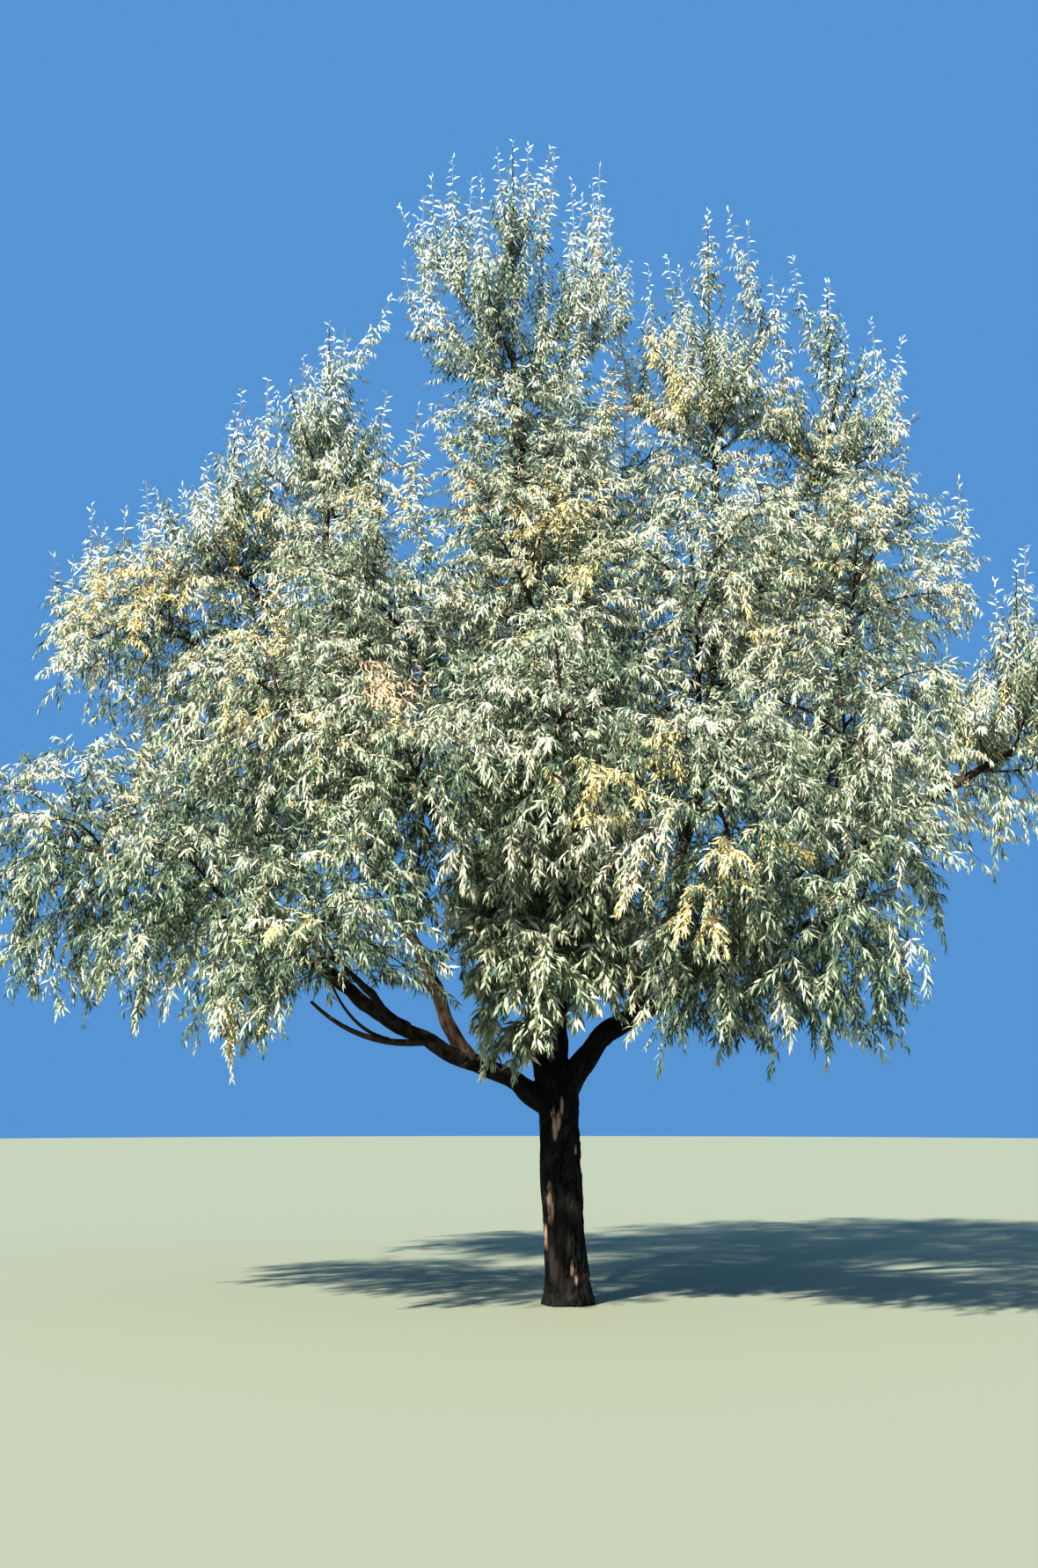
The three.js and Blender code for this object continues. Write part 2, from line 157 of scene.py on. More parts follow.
# A mass lies at a heading round the trunk, a spread out from it and a height over the ground. Its
# bough leaves the parent at a share of its length, and follows the parent's course for a while.
def mass(heading, spread, height, half_width, half_height, habit, parent, at, girth, follow=0.34):
    angle = math.radians(heading)
    return {
        "middle": np.array([math.cos(angle) * spread, math.sin(angle) * spread, height]),
        "half": np.array([half_width, half_width, half_height]),
        "habit": habit,
        "parent": parent,
        "at": at,
        "girth": girth,
        "follow": follow,
    }


CROWN = {
    "top_column": mass(172, 0.39, 7.37, 0.90, 1.19, "upright", "trunk", 0.9, 0.084),
    "top_skirt": mass(216, 0.42, 5.96, 0.74, 0.75, "arching", "top_column", 0.42, 0.03),
    "left_heart": mass(208, 1.57, 4.88, 0.78, 0.76, "arching", "top_column", 0.3, 0.034),
    "centre_high": mass(253, 0.94, 4.97, 0.78, 0.80, "arching", "top_column", 0.22, 0.034),
    "left_outer": mass(174, 3.07, 4.75, 0.85, 0.80, "weeping", "top_column", 0.08, 0.046),
    "left_face": mass(214, 2.33, 3.87, 0.78, 0.75, "weeping", "left_outer", 0.3, 0.03),
    "left_inner_face": mass(239, 1.98, 3.40, 0.68, 0.80, "weeping", "left_outer", 0.08, 0.032),
    "centre_face": mass(268, 1.90, 3.77, 0.75, 0.80, "weeping", "top_column", 0.14, 0.04),
    "left_low_far": mass(187, 3.54, 3.10, 0.85, 0.82, "weeping", "trunk", 0.86, 0.066, 0.04),
    "left_top": mass(180, 1.75, 6.26, 0.63, 0.86, "upright", "left_low_far", 0.16, 0.05),
    "left_shoulder": mass(174, 2.49, 5.71, 0.62, 0.80, "upright", "left_top", 0.5, 0.032),
    "left_low_mid": mass(205, 2.73, 2.74, 0.68, 0.76, "weeping", "left_low_far", 0.5, 0.03),
    "left_low_front": mass(230, 2.48, 2.33, 0.64, 0.78, "weeping", "left_low_far", 0.34, 0.034),
    "right_outer": mass(2, 3.33, 4.33, 0.80, 1.00, "upright", "trunk", 0.9, 0.074, 0.14),
    "right_top_inner": mass(3, 1.08, 6.90, 0.62, 1.05, "upright", "right_outer", 0.12, 0.056),
    "right_top_outer": mass(9, 2.03, 6.64, 0.69, 0.90, "upright", "right_top_inner", 0.5, 0.036),
    "right_heart": mass(314, 1.25, 5.03, 0.78, 0.80, "arching", "right_top_inner", 0.34, 0.034),
    "right_shoulder": mass(0, 2.14, 5.24, 0.80, 0.76, "arching", "right_outer", 0.4, 0.04),
    "right_face": mass(320, 2.34, 3.83, 0.78, 0.75, "weeping", "right_outer", 0.55, 0.03),
    "right_low_front": mass(312, 2.68, 2.40, 0.73, 0.95, "weeping", "right_outer", 0.22, 0.042),
    "right_inner_face": mass(290, 2.44, 3.22, 0.68, 0.75, "weeping", "right_low_front", 0.3, 0.028),
    "right_low_inner": mass(304, 1.57, 2.34, 0.54, 0.64, "weeping", "right_low_front", 0.12, 0.024),
    "back_top": mass(79, 1.63, 6.18, 0.92, 0.92, "arching", "trunk", 0.92, 0.068),
    "back_left_high": mass(131, 2.64, 5.40, 0.94, 0.95, "arching", "back_top", 0.3, 0.042),
    "back_left_low": mass(141, 3.51, 3.69, 0.95, 0.90, "weeping", "back_left_high", 0.2, 0.034),
    "back_right_high": mass(42, 2.84, 5.55, 0.94, 0.95, "arching", "back_top", 0.36, 0.042),
    "back_right_low": mass(39, 3.36, 3.89, 0.97, 0.90, "weeping", "back_right_high", 0.2, 0.034),
    "back_face": mass(89, 3.10, 4.80, 0.92, 0.90, "weeping", "back_top", 0.5, 0.034),
    "back_low": mass(89, 2.80, 3.45, 0.88, 0.78, "weeping", "back_top", 0.2, 0.032),
    "fork_sprout": mass(262, 0.96, 2.60, 0.52, 0.76, "weeping", "trunk", 0.97, 0.024),
}


def unit(vectors):
    length = np.linalg.norm(vectors, axis=-1, keepdims=True)
    return vectors / np.maximum(length, 1e-9)


def point_on(curve, share):
    share = np.asarray(share, float)[..., None]
    return (1 - share) ** 2 * curve[0] + 2 * share * (1 - share) * curve[1] + share**2 * curve[2]


def heading_on(curve, share):
    share = np.asarray(share, float)[..., None]
    return unit((1 - share) * (curve[1] - curve[0]) + share * (curve[2] - curve[1]))


# A direction square to the plane that a curve lies in, or to its course where it runs straight
def across_of(curve):
    chord = curve[2] - curve[0]
    across = np.cross(curve[1] - curve[0], chord)
    if np.linalg.norm(across) < 1e-3:
        is_steep = abs(chord[2]) > 0.8 * np.linalg.norm(chord)
        across = np.cross(RIGHT if is_steep else UP, chord)
    return unit(across)


# A mass keeps to an ellipsoid, cut by a flat wall towards every other mass
def add_walls(name):
    row = CROWN[name]
    facing = []
    place = []
    for other_name, other in CROWN.items():
        if other_name == name:
            continue
        towards = other["middle"] - row["middle"]
        distance = np.linalg.norm(towards)
        towards = towards / distance
        own = 1 / np.linalg.norm(towards / row["half"])
        theirs = 1 / np.linalg.norm(towards / other["half"])
        facing.append(towards)
        place.append(towards @ row["middle"] + distance * own / (own + theirs) - SPACE_GAP)
    row["facing"] = np.array(facing)
    row["place"] = np.array(place)
    row["heart"] = row["middle"] + UP * HEART_HEIGHT[row["habit"]] * row["half"][2]


def is_inside(row, points):
    within = (((points - row["middle"]) / row["half"]) ** 2).sum(-1) < 1
    return within & (points @ row["facing"].T < row["place"]).all(-1)


# How far the space reaches from points in it, with the walls let out by a slack
def reach_from(row, origins, directions, slack=0.0):
    start = (origins - row["middle"]) / row["half"]
    step = directions / row["half"]
    a = (step**2).sum(-1)
    b = (start * step).sum(-1)
    root = np.sqrt(np.maximum(b**2 - a * ((start**2).sum(-1) - 1), 0))
    closing = directions @ row["facing"].T
    room = row["place"] + slack - origins @ row["facing"].T
    to_wall = np.where(closing > 1e-6, room / np.maximum(closing, 1e-6), np.inf).min(-1)
    return np.minimum((root - b) / a, to_wall)


for name in CROWN:
    add_walls(name)

FORK_HEIGHT = 1.6
TRUNK_LINE = np.array([[0, 0, 0], [-0.03, 0, 0.8], [-0.07, 0, FORK_HEIGHT]])
limbs = {"trunk": {"name": "trunk", "curve": TRUNK_LINE, "start": 0, "end": 1, "girth": 0.162, "tip": 1}}


def girth_at(limb, share):
    built = np.clip((share - limb["start"]) / (limb["end"] - limb["start"]), 0, 1)
    return limb["girth"] * (1 - (1 - limb["tip"]) * built)


# A child's curve, from its parent's middle line to the heart of its mass
def set_out_limb(parent, name):
    row = CROWN[name]
    at = parent["start"] + (parent["end"] - parent["start"]) * row["at"]
    base = point_on(parent["curve"], at)
    chord = row["heart"] - base
    length = np.linalg.norm(chord)
    way = heading_on(parent["curve"], at) * row["follow"] + unit(chord) * (1 - row["follow"])
    return {
        "name": name,
        "parent": parent,
        "at": row["at"],
        "curve": np.array([base, base + unit(way) * length / 2, row["heart"]]),
        "span": length,
        "start": 0,
        "end": 1,
        "girth": row["girth"],
        "tip": TIP_SHARE,
    }


# The joint lies where a limb has come clear of its parent and of the limbs beside it
def joint_of(limb, neighbours):
    shares = np.arange(61) / 60
    share = WALK_STEP
    while share < 0.9:
        point = point_on(limb["curve"], share)
        rooms = [
            (np.linalg.norm(point - point_on(other["curve"], shares), axis=1) - girth_at(other, shares)).min()
            for other in neighbours
        ]
        if min(rooms) - limb["girth"] > FORK_CLEARANCE:
            break
        share += WALK_STEP
    return share


# A bough ends where a ball of its tip's size lies inside the space of its mass
def end_of(limb):
    ball = (limb["girth"] * TIP_SHARE + SPACE_GAP) * np.concatenate([np.eye(3), -np.eye(3)])
    share = limb["start"] + SHORTEST_BOUGH / limb["span"]
    while share < 0.97 and not is_inside(CROWN[limb["name"]], point_on(limb["curve"], share) + ball).all():
        share += WALK_STEP
    return share


def grow_limbs(parent):
    children = [set_out_limb(parent, name) for name, row in CROWN.items() if row["parent"] == parent["name"]]
    joints = [
        joint_of(limb, [parent] + [other for other in children if other is not limb]) for limb in children
    ]
    for limb, joint in zip(children, joints):
        limb["start"] = joint
        limb["end"] = joint if limb["name"] == SPROUT else end_of(limb)
        limb["seed"] = len(limbs)
        limbs[limb["name"]] = limb
    for limb in children:
        if limb["name"] != SPROUT:
            grow_limbs(limb)


grow_limbs(limbs["trunk"])
boughs = [limb for name, limb in limbs.items() if name not in ("trunk", SPROUT)]


# Trunk
# Solid wood under thick shaggy bark that splits into long interlaced ridges and peels in strips.
# The limbs grow out of its swollen fork, so one skin covers the trunk and their first stretch.
TRUNK_SIDES = 96
TRUNK_RINGS = 120
TRUNK_GIRTH = 0.139
FORK_GIRTH = 0.15
FLARE_HEIGHT = 0.12
ROOT_FLARE = 0.030
SIDE_FLARE = 0.014
DOME_START = 1.38
DOME_HEIGHT = 0.23
LIMB_SIDES = 32
LIMB_RINGS = 60
SKIN_STEP = 0.0094
SKIN_REACH = 0.75
SKIN_OVERLAP = 0.3
BARK_DEPTH = 0.02
WOOD_SHIFT = 3.0


def trunk_radius(height, angle):
    flare = np.exp(-height / FLARE_HEIGHT)
    dome = np.sqrt(1 - (np.clip(height - DOME_START, 0, 0.22) / DOME_HEIGHT) ** 2)
    girth = (
        TRUNK_GIRTH
        + ROOT_FLARE * flare * (1 + 0.35 * np.cos(5 * angle + 0.6))
        + SIDE_FLARE * flare * (1 + np.cos(angle))
        + 0.007 * np.sin(3 * angle + height / 0.26)
        + 0.005 * np.sin(2 * angle - height / 0.11)
    )
    return girth * dome


# A closed tube round a line of points, as points and faces that look outwards
def tube(line, radii, across, sides):
    along = unit(np.gradient(line, axis=0))
    over = unit(np.cross(across, along))
    side = np.cross(over, along)
    turns = np.arange(sides) * 2 * math.pi / sides
    spokes = np.cos(turns)[:, None] * side[:, None] + np.sin(turns)[:, None] * over[:, None]
    points = line[:, None] + spokes * np.broadcast_to(radii, (len(line), sides))[..., None]
    points = np.concatenate([points.reshape(-1, 3), line[:1], line[-1:]])
    i, j = np.meshgrid(np.arange(len(line) - 1), np.arange(sides), indexing="ij")
    k = (j + 1) % sides
    walls = np.stack([i * sides + j, i * sides + k, (i + 1) * sides + k, (i + 1) * sides + j], axis=-1)
    faces = [tuple(face) for face in walls.reshape(-1, 4).tolist()]
    last = (len(line) - 1) * sides
    foot = len(line) * sides
    for turn in range(sides):
        after = (turn + 1) % sides
        faces.append((after, turn, foot))
        faces.append((last + turn, last + after, foot + 1))
    return points, faces


# Several tubes as one list of points and one of faces
def gathered(tubes):
    faces = []
    count = 0
    for points, own_faces in tubes:
        faces += [tuple(corner + count for corner in face) for face in own_faces]
        count += len(points)
    return np.concatenate([points for points, own_faces in tubes]), faces


# Three limbs bow away from their course soon after the fork: by how much, and how far along
LIMB_BOW = {
    "top_column": (np.array([-0.12, 0.0, 0.0]), 0.5),
    "right_outer": (np.array([-0.03, 0.0, 0.10]), 0.45),
    "left_low_far": (np.array([0.0, 0.0, -0.08]), 1.1),
}


def bow_at(name, arc):
    bow, middle = LIMB_BOW[name]
    return np.exp(-2.5 * (np.asarray(arc) / middle - 1) ** 2)[..., None] * bow


# Limbs are crooked: their line wanders a little from side to side between its two ends
def wandering_line(limb, shares):
    chance = np.random.default_rng(limb["seed"])
    parent = limb["parent"]
    line = point_on(limb["curve"], shares)
    across = across_of(limb["curve"])
    over = unit(np.cross(across, heading_on(limb["curve"], shares)))
    arc = shares * limb["span"]
    if limb["name"] in LIMB_BOW:
        line = line + bow_at(limb["name"], arc)
    if parent["name"] in LIMB_BOW:
        joint = (parent["start"] + (parent["end"] - parent["start"]) * limb["at"]) * parent["span"]
        line = line + np.exp(-((arc / 0.7) ** 2))[:, None] * bow_at(parent["name"], joint)
    width = min(0.03, 0.5 * limb["girth"]) * np.clip(np.minimum(arc / 0.35, (1 - shares) * 6), 0, 1)
    for pace, size in ((5.5, 0.6), (11, 0.4), (21, 0.2)):
        phase = chance.uniform(0, 2 * math.pi, 2)
        line = line + (width * size * np.sin(arc * pace + phase[0]))[:, None] * across
        line = line + (width * size * np.sin(arc * pace * 0.83 + phase[1]))[:, None] * over
    return line


# A limb is thicker at the collar where it leaves its parent, and swells and thins as it goes
def limb_radii(limb, shares, parent_girth):
    chance = np.random.default_rng(limb["seed"] + 500)
    arc = shares * limb["span"]
    collar = 1 + 0.42 * np.exp(-np.maximum(arc - parent_girth * 0.8, 0) / (1.6 * limb["girth"] + 0.03))
    swell = 1 + 0.05 * np.sin(arc * 9 + chance.uniform(0, 6)) + 0.04 * np.sin(arc * 23 + chance.uniform(0, 6))
    return girth_at(limb, shares) * collar * swell


def add_modifier_values(made, tree, values):
    modifier = made.modifiers.new(tree.name, "NODES")
    modifier.node_group = tree
    for item in tree.interface.items_tree:
        if item.in_out == "INPUT" and item.name in values:
            modifier[item.identifier] = values[item.name]


# What the modifiers make becomes the plain mesh of the piece, and they are taken off
def settle(made, keep=()):
    shape = made.evaluated_get(bpy.context.evaluated_depsgraph_get())
    settled = bpy.data.meshes.new_from_object(shape)
    made.modifiers.clear()
    loose = made.data
    made.data = settled
    bpy.data.meshes.remove(loose)
    settled.name = made.name
    for name in [layer.name for layer in settled.attributes]:
        layer = settled.attributes.get(name)
        if layer and not layer.is_internal and not layer.is_required and name not in keep:
            if name not in ("sharp_face", "material_index", "UVMap"):
                settled.attributes.remove(layer)
    settled.shade_smooth()


# A node of a tree with its inputs set, or linked where the value is another node or its socket
def node(tree, kind, inputs=None, **settings):
    made = tree.nodes.new(kind)
    for key, value in settings.items():
        setattr(made, key, value)
    for key, value in (inputs or {}).items():
        if isinstance(value, bpy.types.Node):
            value = value.outputs[0]
        if isinstance(value, bpy.types.NodeSocket):
            tree.links.new(value, made.inputs[key])
        else:
            made.inputs[key].default_value = value
    return made


def reckon(tree, operation, first, second=0.0, **settings):
    return node(tree, "ShaderNodeMath", {0: first, 1: second}, operation=operation, **settings)


def stored(tree, name, kind="FLOAT"):
    return node(tree, "GeometryNodeInputNamedAttribute", {"Name": name}, data_type=kind)


def noise(tree, place, scale, detail, **inputs):
    return node(tree, "ShaderNodeTexNoise", {"Vector": place, "Scale": scale, "Detail": detail, **inputs})


def ranged(tree, value, low, high, least, most, **settings):
    inputs = {"Value": value, 1: low, 2: high, 3: least, 4: most}
    return node(tree, "ShaderNodeMapRange", inputs, **settings)


def mixed(tree, factor, below, above, **settings):
    inputs = {"Factor": factor, 6: below, 7: above}
    return node(tree, "ShaderNodeMix", inputs, data_type="RGBA", **settings).outputs[2]


def new_tree(name, **inputs):
    tree = bpy.data.node_groups.new(name, "GeometryNodeTree")
    tree.interface.new_socket("Geometry", in_out="INPUT", socket_type="NodeSocketGeometry")
    for title, kind in inputs.items():
        tree.interface.new_socket(title, in_out="INPUT", socket_type=f"NodeSocket{kind}")
    tree.interface.new_socket("Geometry", in_out="OUTPUT", socket_type="NodeSocketGeometry")
    return tree, tree.nodes.new("NodeGroupInput").outputs


# Every tree ends in one plain mesh with its finish
def finish_tree(tree, shape, finish):
    whole = node(tree, "GeometryNodeRealizeInstances", {"Geometry": shape})
    finished = node(tree, "GeometryNodeSetMaterial", {"Geometry": whole, "Material": finish})
    node(tree, "NodeGroupOutput", {"Geometry": finished})


# Bark relief: long interlaced fissures between raised strips, pushed out along the surface
bark_tree, bark_input = new_tree(
    "bark_relief", Depth="Float", Strips="Float", Length="Float", Bark="Material"
)
strips = bark_input["Strips"]
stretch = node(bark_tree, "ShaderNodeCombineXYZ", {0: strips, 1: strips, 2: bark_input["Length"]})
wood_place = stored(bark_tree, "wood_place", "FLOAT_VECTOR")
bark_place = node(bark_tree, "ShaderNodeVectorMath", {0: wood_place, 1: stretch}, operation="MULTIPLY")
split = noise(bark_tree, bark_place, 1.0, 2.5, Distortion=0.6)
from_split = reckon(bark_tree, "ABSOLUTE", reckon(bark_tree, "SUBTRACT", split, 0.5))
strip = ranged(bark_tree, from_split, 0.0, 0.085, 0.0, 1.0, interpolation_type="SMOOTHSTEP")
shag = noise(bark_tree, bark_place, 2.7, 3.0, Roughness=0.62)
ridge = reckon(bark_tree, "ADD", strip, reckon(bark_tree, "MULTIPLY", shag, 0.9))
height = reckon(bark_tree, "ADD", ridge, -1.15)
girth_part = reckon(bark_tree, "DIVIDE", stored(bark_tree, "wood_girth"), 0.14, use_clamp=True)
depth = reckon(bark_tree, "MULTIPLY", bark_input["Depth"], girth_part)
lift = reckon(bark_tree, "MULTIPLY", height, depth)
outward = node(bark_tree, "GeometryNodeInputNormal")
push = node(bark_tree, "ShaderNodeVectorMath", {0: outward, 3: lift}, operation="SCALE")
remember = node(
    bark_tree,
    "GeometryNodeStoreNamedAttribute",
    {"Geometry": bark_input["Geometry"], "Name": "ridge", "Value": ridge},
    data_type="FLOAT",
    domain="POINT",
)
pushed = node(bark_tree, "GeometryNodeSetPosition", {"Geometry": remember, "Offset": push})
finish_tree(bark_tree, pushed, bark_input["Bark"])


# Bark: grey-brown on the strips and near black in the splits, partly the bark's own colour and partly painted
# shade that darkens it as the ridge height falls, with tan patches where strips have peeled and where painted
# sun flecks fall
def make_bark(name, dark, brown, grey, tan):
    material = plain_material(name, brown, 0.93)
    tree = material.node_tree
    shader = tree.nodes["Principled BSDF"]
    ridges = node(tree, "ShaderNodeAttribute", attribute_name="ridge").outputs["Fac"]
    # Painted shade: the ramp darkens the bark towards the splits by the ridge height
    tint = node(tree, "ShaderNodeValToRGB", {"Fac": ridges})
    for element, position, colour in zip(tint.color_ramp.elements, (0.32, 1.0), (dark, brown)):
        element.position = position
        element.color = (*colour, 1)
    place = node(tree, "ShaderNodeTexCoord").outputs["Object"]
    stretched = node(tree, "ShaderNodeMapping", {"Vector": place, "Scale": (1, 1, 0.28)})
    weathered = ranged(tree, noise(tree, stretched, 13.0, 3.0), 0.5, 0.68, 0.0, 0.8)
    aged = mixed(tree, weathered, tint, (*grey, 1))
    peel = node(tree, "ShaderNodeAttribute", attribute_name="peel").outputs["Fac"]
    fresh = mixed(tree, peel, aged, (*tan, 1))
    # Painted shade: the splits are darkened once more by the ridge height, over the bark's colour
    deep = ranged(tree, ridges, 0.3, 1.05, 0.12, 1.0)
    shaded = mixed(tree, 1.0, fresh, deep, blend_type="MULTIPLY")
    tree.links.new(shaded, shader.inputs["Base Color"])
    fibres = noise(tree, stretched, 160.0, 3.0)
    bump = node(tree, "ShaderNodeBump", {"Height": fibres, "Strength": 0.7, "Distance": 0.004})
    tree.links.new(bump.outputs[0], shader.inputs["Normal"])
    return material


# The trunk's dark bark is made darker still, near black, as painted shade from the crown over it
trunk_bark = make_bark(
    "trunk_bark", (0.002, 0.0015, 0.0015), (0.009, 0.007, 0.0065), (0.040, 0.033, 0.029), (0.52, 0.35, 0.26)
)

trunk_shares = np.linspace(0, 1, TRUNK_RINGS)
trunk_line = point_on(TRUNK_LINE, trunk_shares)
trunk_turns = np.arange(TRUNK_SIDES) * 2 * math.pi / TRUNK_SIDES
trunk_radii = trunk_radius((trunk_shares * FORK_HEIGHT)[:, None], trunk_turns[None, :])
skin_tubes = [tube(trunk_line, trunk_radii, np.array([0, -1.0, 0]), TRUNK_SIDES)]
wood_lines = [(trunk_line, np.full(TRUNK_RINGS, FORK_GIRTH), 0.0)]
for limb in boughs:
    if limb["parent"]["name"] != "trunk":
        continue
    shares = np.linspace(0, min(1, (SKIN_REACH + SKIN_OVERLAP) / limb["span"]), LIMB_RINGS)
    line = wandering_line(limb, shares)
    radii = limb_radii(limb, shares, FORK_GIRTH)
    skin_tubes.append(tube(line, radii[:, None], across_of(limb["curve"]), LIMB_SIDES))
    wood_lines.append((line, radii, WOOD_SHIFT * limb["seed"]))

bark_trunk = mesh_object("bark_trunk", *gathered(skin_tubes))
remesh = bark_trunk.modifiers.new("one_skin", "REMESH")
remesh.mode = "VOXEL"
remesh.voxel_size = SKIN_STEP
smooth = bark_trunk.modifiers.new("even", "SMOOTH")
smooth.factor = 0.5
smooth.iterations = 10
settle(bark_trunk)


def read_points(mesh):
    places = np.empty(len(mesh.vertices) * 3, np.float32)
    mesh.vertices.foreach_get("co", places)
    return places.reshape(-1, 3)


def add_attribute(mesh, name, kind, values):
    layer = mesh.attributes.new(name, kind, "POINT")
    field = "vector" if kind == "FLOAT_VECTOR" else "value"
    layer.data.foreach_set(field, np.asarray(values, np.float32).ravel())


def arc_along(line):
    return np.concatenate([[0], np.cumsum(np.linalg.norm(np.diff(line, axis=0), axis=1))])


# Each point of the skin learns its place in the wood as if the limb were straight, and its girth
def learn_place(mesh, lines):
    centres = np.concatenate([line for line, radii, shift in lines])
    girths = np.concatenate([radii for line, radii, shift in lines])
    places = np.concatenate([arc_along(line) + shift for line, radii, shift in lines])
    tree = KDTree(len(centres))
    for index, centre in enumerate(centres):
        tree.insert(Vector(centre), index)
    tree.balance()
    points = read_points(mesh)
    nearest = np.array([tree.find(Vector(point))[1] for point in points])
    offset = points - centres[nearest]
    wood = np.stack([offset[:, 0], offset[:, 1], places[nearest]], axis=1)
    add_attribute(mesh, "wood_place", "FLOAT_VECTOR", wood)
    add_attribute(mesh, "wood_girth", "FLOAT", girths[nearest])
    return points


skin = learn_place(bark_trunk.data, wood_lines)

# Peeled places on the trunk, a narrow tan wedge under the fork and small ones lower down, set where
# sun flecks fall through the crown, so their tan is also painted sunlight: x, y, z, width and length
PEEL_DEPTH = 0.08
PEEL_STRENGTH = 0.85
PEELED_AND_SUNLIT = (
    (-0.100, -0.13, 1.29, 0.014, 0.08),
    (-0.085, -0.13, 1.21, 0.016, 0.07),
    (-0.060, -0.14, 1.28, 0.012, 0.07),
    (-0.040, -0.14, 1.37, 0.010, 0.07),
    (-0.125, -0.09, 0.76, 0.016, 0.09),
    (-0.115, -0.10, 0.64, 0.020, 0.08),
    (-0.150, -0.06, 0.47, 0.014, 0.08),
    (0.055, -0.13, 1.07, 0.009, 0.04),
    (0.030, -0.14, 0.26, 0.012, 0.05),
    (0.060, -0.13, 0.20, 0.012, 0.05),
)
peel = np.zeros(len(skin))
for x, y, z, width, length in PEELED_AND_SUNLIT:
    across_peel = ((skin[:, 0] - x) / width) ** 2 + ((skin[:, 1] - y) / PEEL_DEPTH) ** 2
    peel = np.maximum(peel, np.clip(1.5 - (across_peel + ((skin[:, 2] - z) / length) ** 2), 0, 1))
add_attribute(bark_trunk.data, "peel", "FLOAT", peel * PEEL_STRENGTH)
add_modifier_values(
    bark_trunk, bark_tree, {"Depth": BARK_DEPTH, "Strips": 17.0, "Length": 3.4, "Bark": trunk_bark}
)
settle(bark_trunk, keep=("ridge", "peel"))

# The foot is cut flat at the ground
FOOT_SNAP = 0.004
grounded = read_points(bark_trunk.data)
grounded[:, 2] = np.maximum(grounded[:, 2], 0)
grounded[grounded[:, 2] < FOOT_SNAP, 2] = 0
bark_trunk.data.vertices.foreach_set("co", grounded.ravel())
bark_trunk.data.update()
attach(bark_trunk, "root")
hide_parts("trunk")


# Boughs
# Crooked limbs under thinner, smoother bark than the trunk's. Each swells into a collar where it
# leaves its parent, and tapers up to the mass of foliage that it carries.
BOUGH_STEP = 0.03
BOUGH_SEAT = 0.985
BOUGH_OVERLAP = 0.03
FEWEST_RINGS = 8
SIDES_BY_GIRTH = 280
BOUGH_SIDES = (8, 20)
# The riser on the left is tan all along, partly peeled bark and partly painted sunlight where the sun lights
# it
PEELING_SUNLIT_BOUGH = "left_top"
PEEL_AND_SUN_SHARE = 0.45
bough_tubes = []
bough_wood = []
bough_girths = []
bough_peel_and_sun = []
for limb in boughs:
    from_trunk = limb["parent"]["name"] == "trunk"
    first = SKIN_REACH / limb["span"] if from_trunk else 0.0
    rings = max(FEWEST_RINGS, int(limb["span"] * (limb["end"] - first) / BOUGH_STEP))
    shares = np.linspace(first, min(1, limb["end"] + BOUGH_OVERLAP), rings)
    parent_girth = FORK_GIRTH if from_trunk else girth_at(limb["parent"], limb["at"])
    line = wandering_line(limb, shares)
    radii = limb_radii(limb, shares, parent_girth) * (BOUGH_SEAT if from_trunk else 1)
    sides = int(np.clip(limb["girth"] * SIDES_BY_GIRTH, *BOUGH_SIDES))
    points, faces = tube(line, radii[:, None], across_of(limb["curve"]), sides)
    bough_tubes.append((points, faces))
    offset = points - np.concatenate([np.repeat(line, sides, axis=0), line[:1], line[-1:]])
    arc = np.concatenate([np.repeat(shares * limb["span"], sides), [0, limb["span"]]])
    bough_wood.append(np.stack([offset[:, 0], offset[:, 1], arc + WOOD_SHIFT * limb["seed"]], axis=1))
    bough_girths.append(np.concatenate([np.repeat(radii, sides), [radii[0], radii[-1]]]))
    bough_peel_and_sun.append(np.full(len(points), PEEL_AND_SUN_SHARE if limb["name"] == PEELING_SUNLIT_BOUGH else 0.0))

# The limbs' dark bark is made darker still as painted shade under the crown
limb_bark = make_bark(
    "limb_bark", (0.004, 0.003, 0.003), (0.022, 0.017, 0.014), (0.060, 0.048, 0.040), (0.40, 0.26, 0.20)
)
bark_boughs = mesh_object("bark_boughs", *gathered(bough_tubes))
add_attribute(bark_boughs.data, "wood_place", "FLOAT_VECTOR", np.concatenate(bough_wood))
add_attribute(bark_boughs.data, "wood_girth", "FLOAT", np.concatenate(bough_girths))
add_attribute(bark_boughs.data, "peel", "FLOAT", np.concatenate(bough_peel_and_sun))
add_modifier_values(
    bark_boughs, bark_tree, {"Depth": BARK_DEPTH * 0.9, "Strips": 24.0, "Length": 4.0, "Bark": limb_bark}
)
settle(bark_boughs, keep=("ridge", "peel"))
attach(bark_boughs, "root")
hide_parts(*[f"{limb['name']}_bough" for limb in boughs])


# Twigs
# Brown twigs branch from one stem in each mass, by the same rule as the solids', and carry side
# twigs on every side. At the top they stand upright, and lower down they arch over or weep.

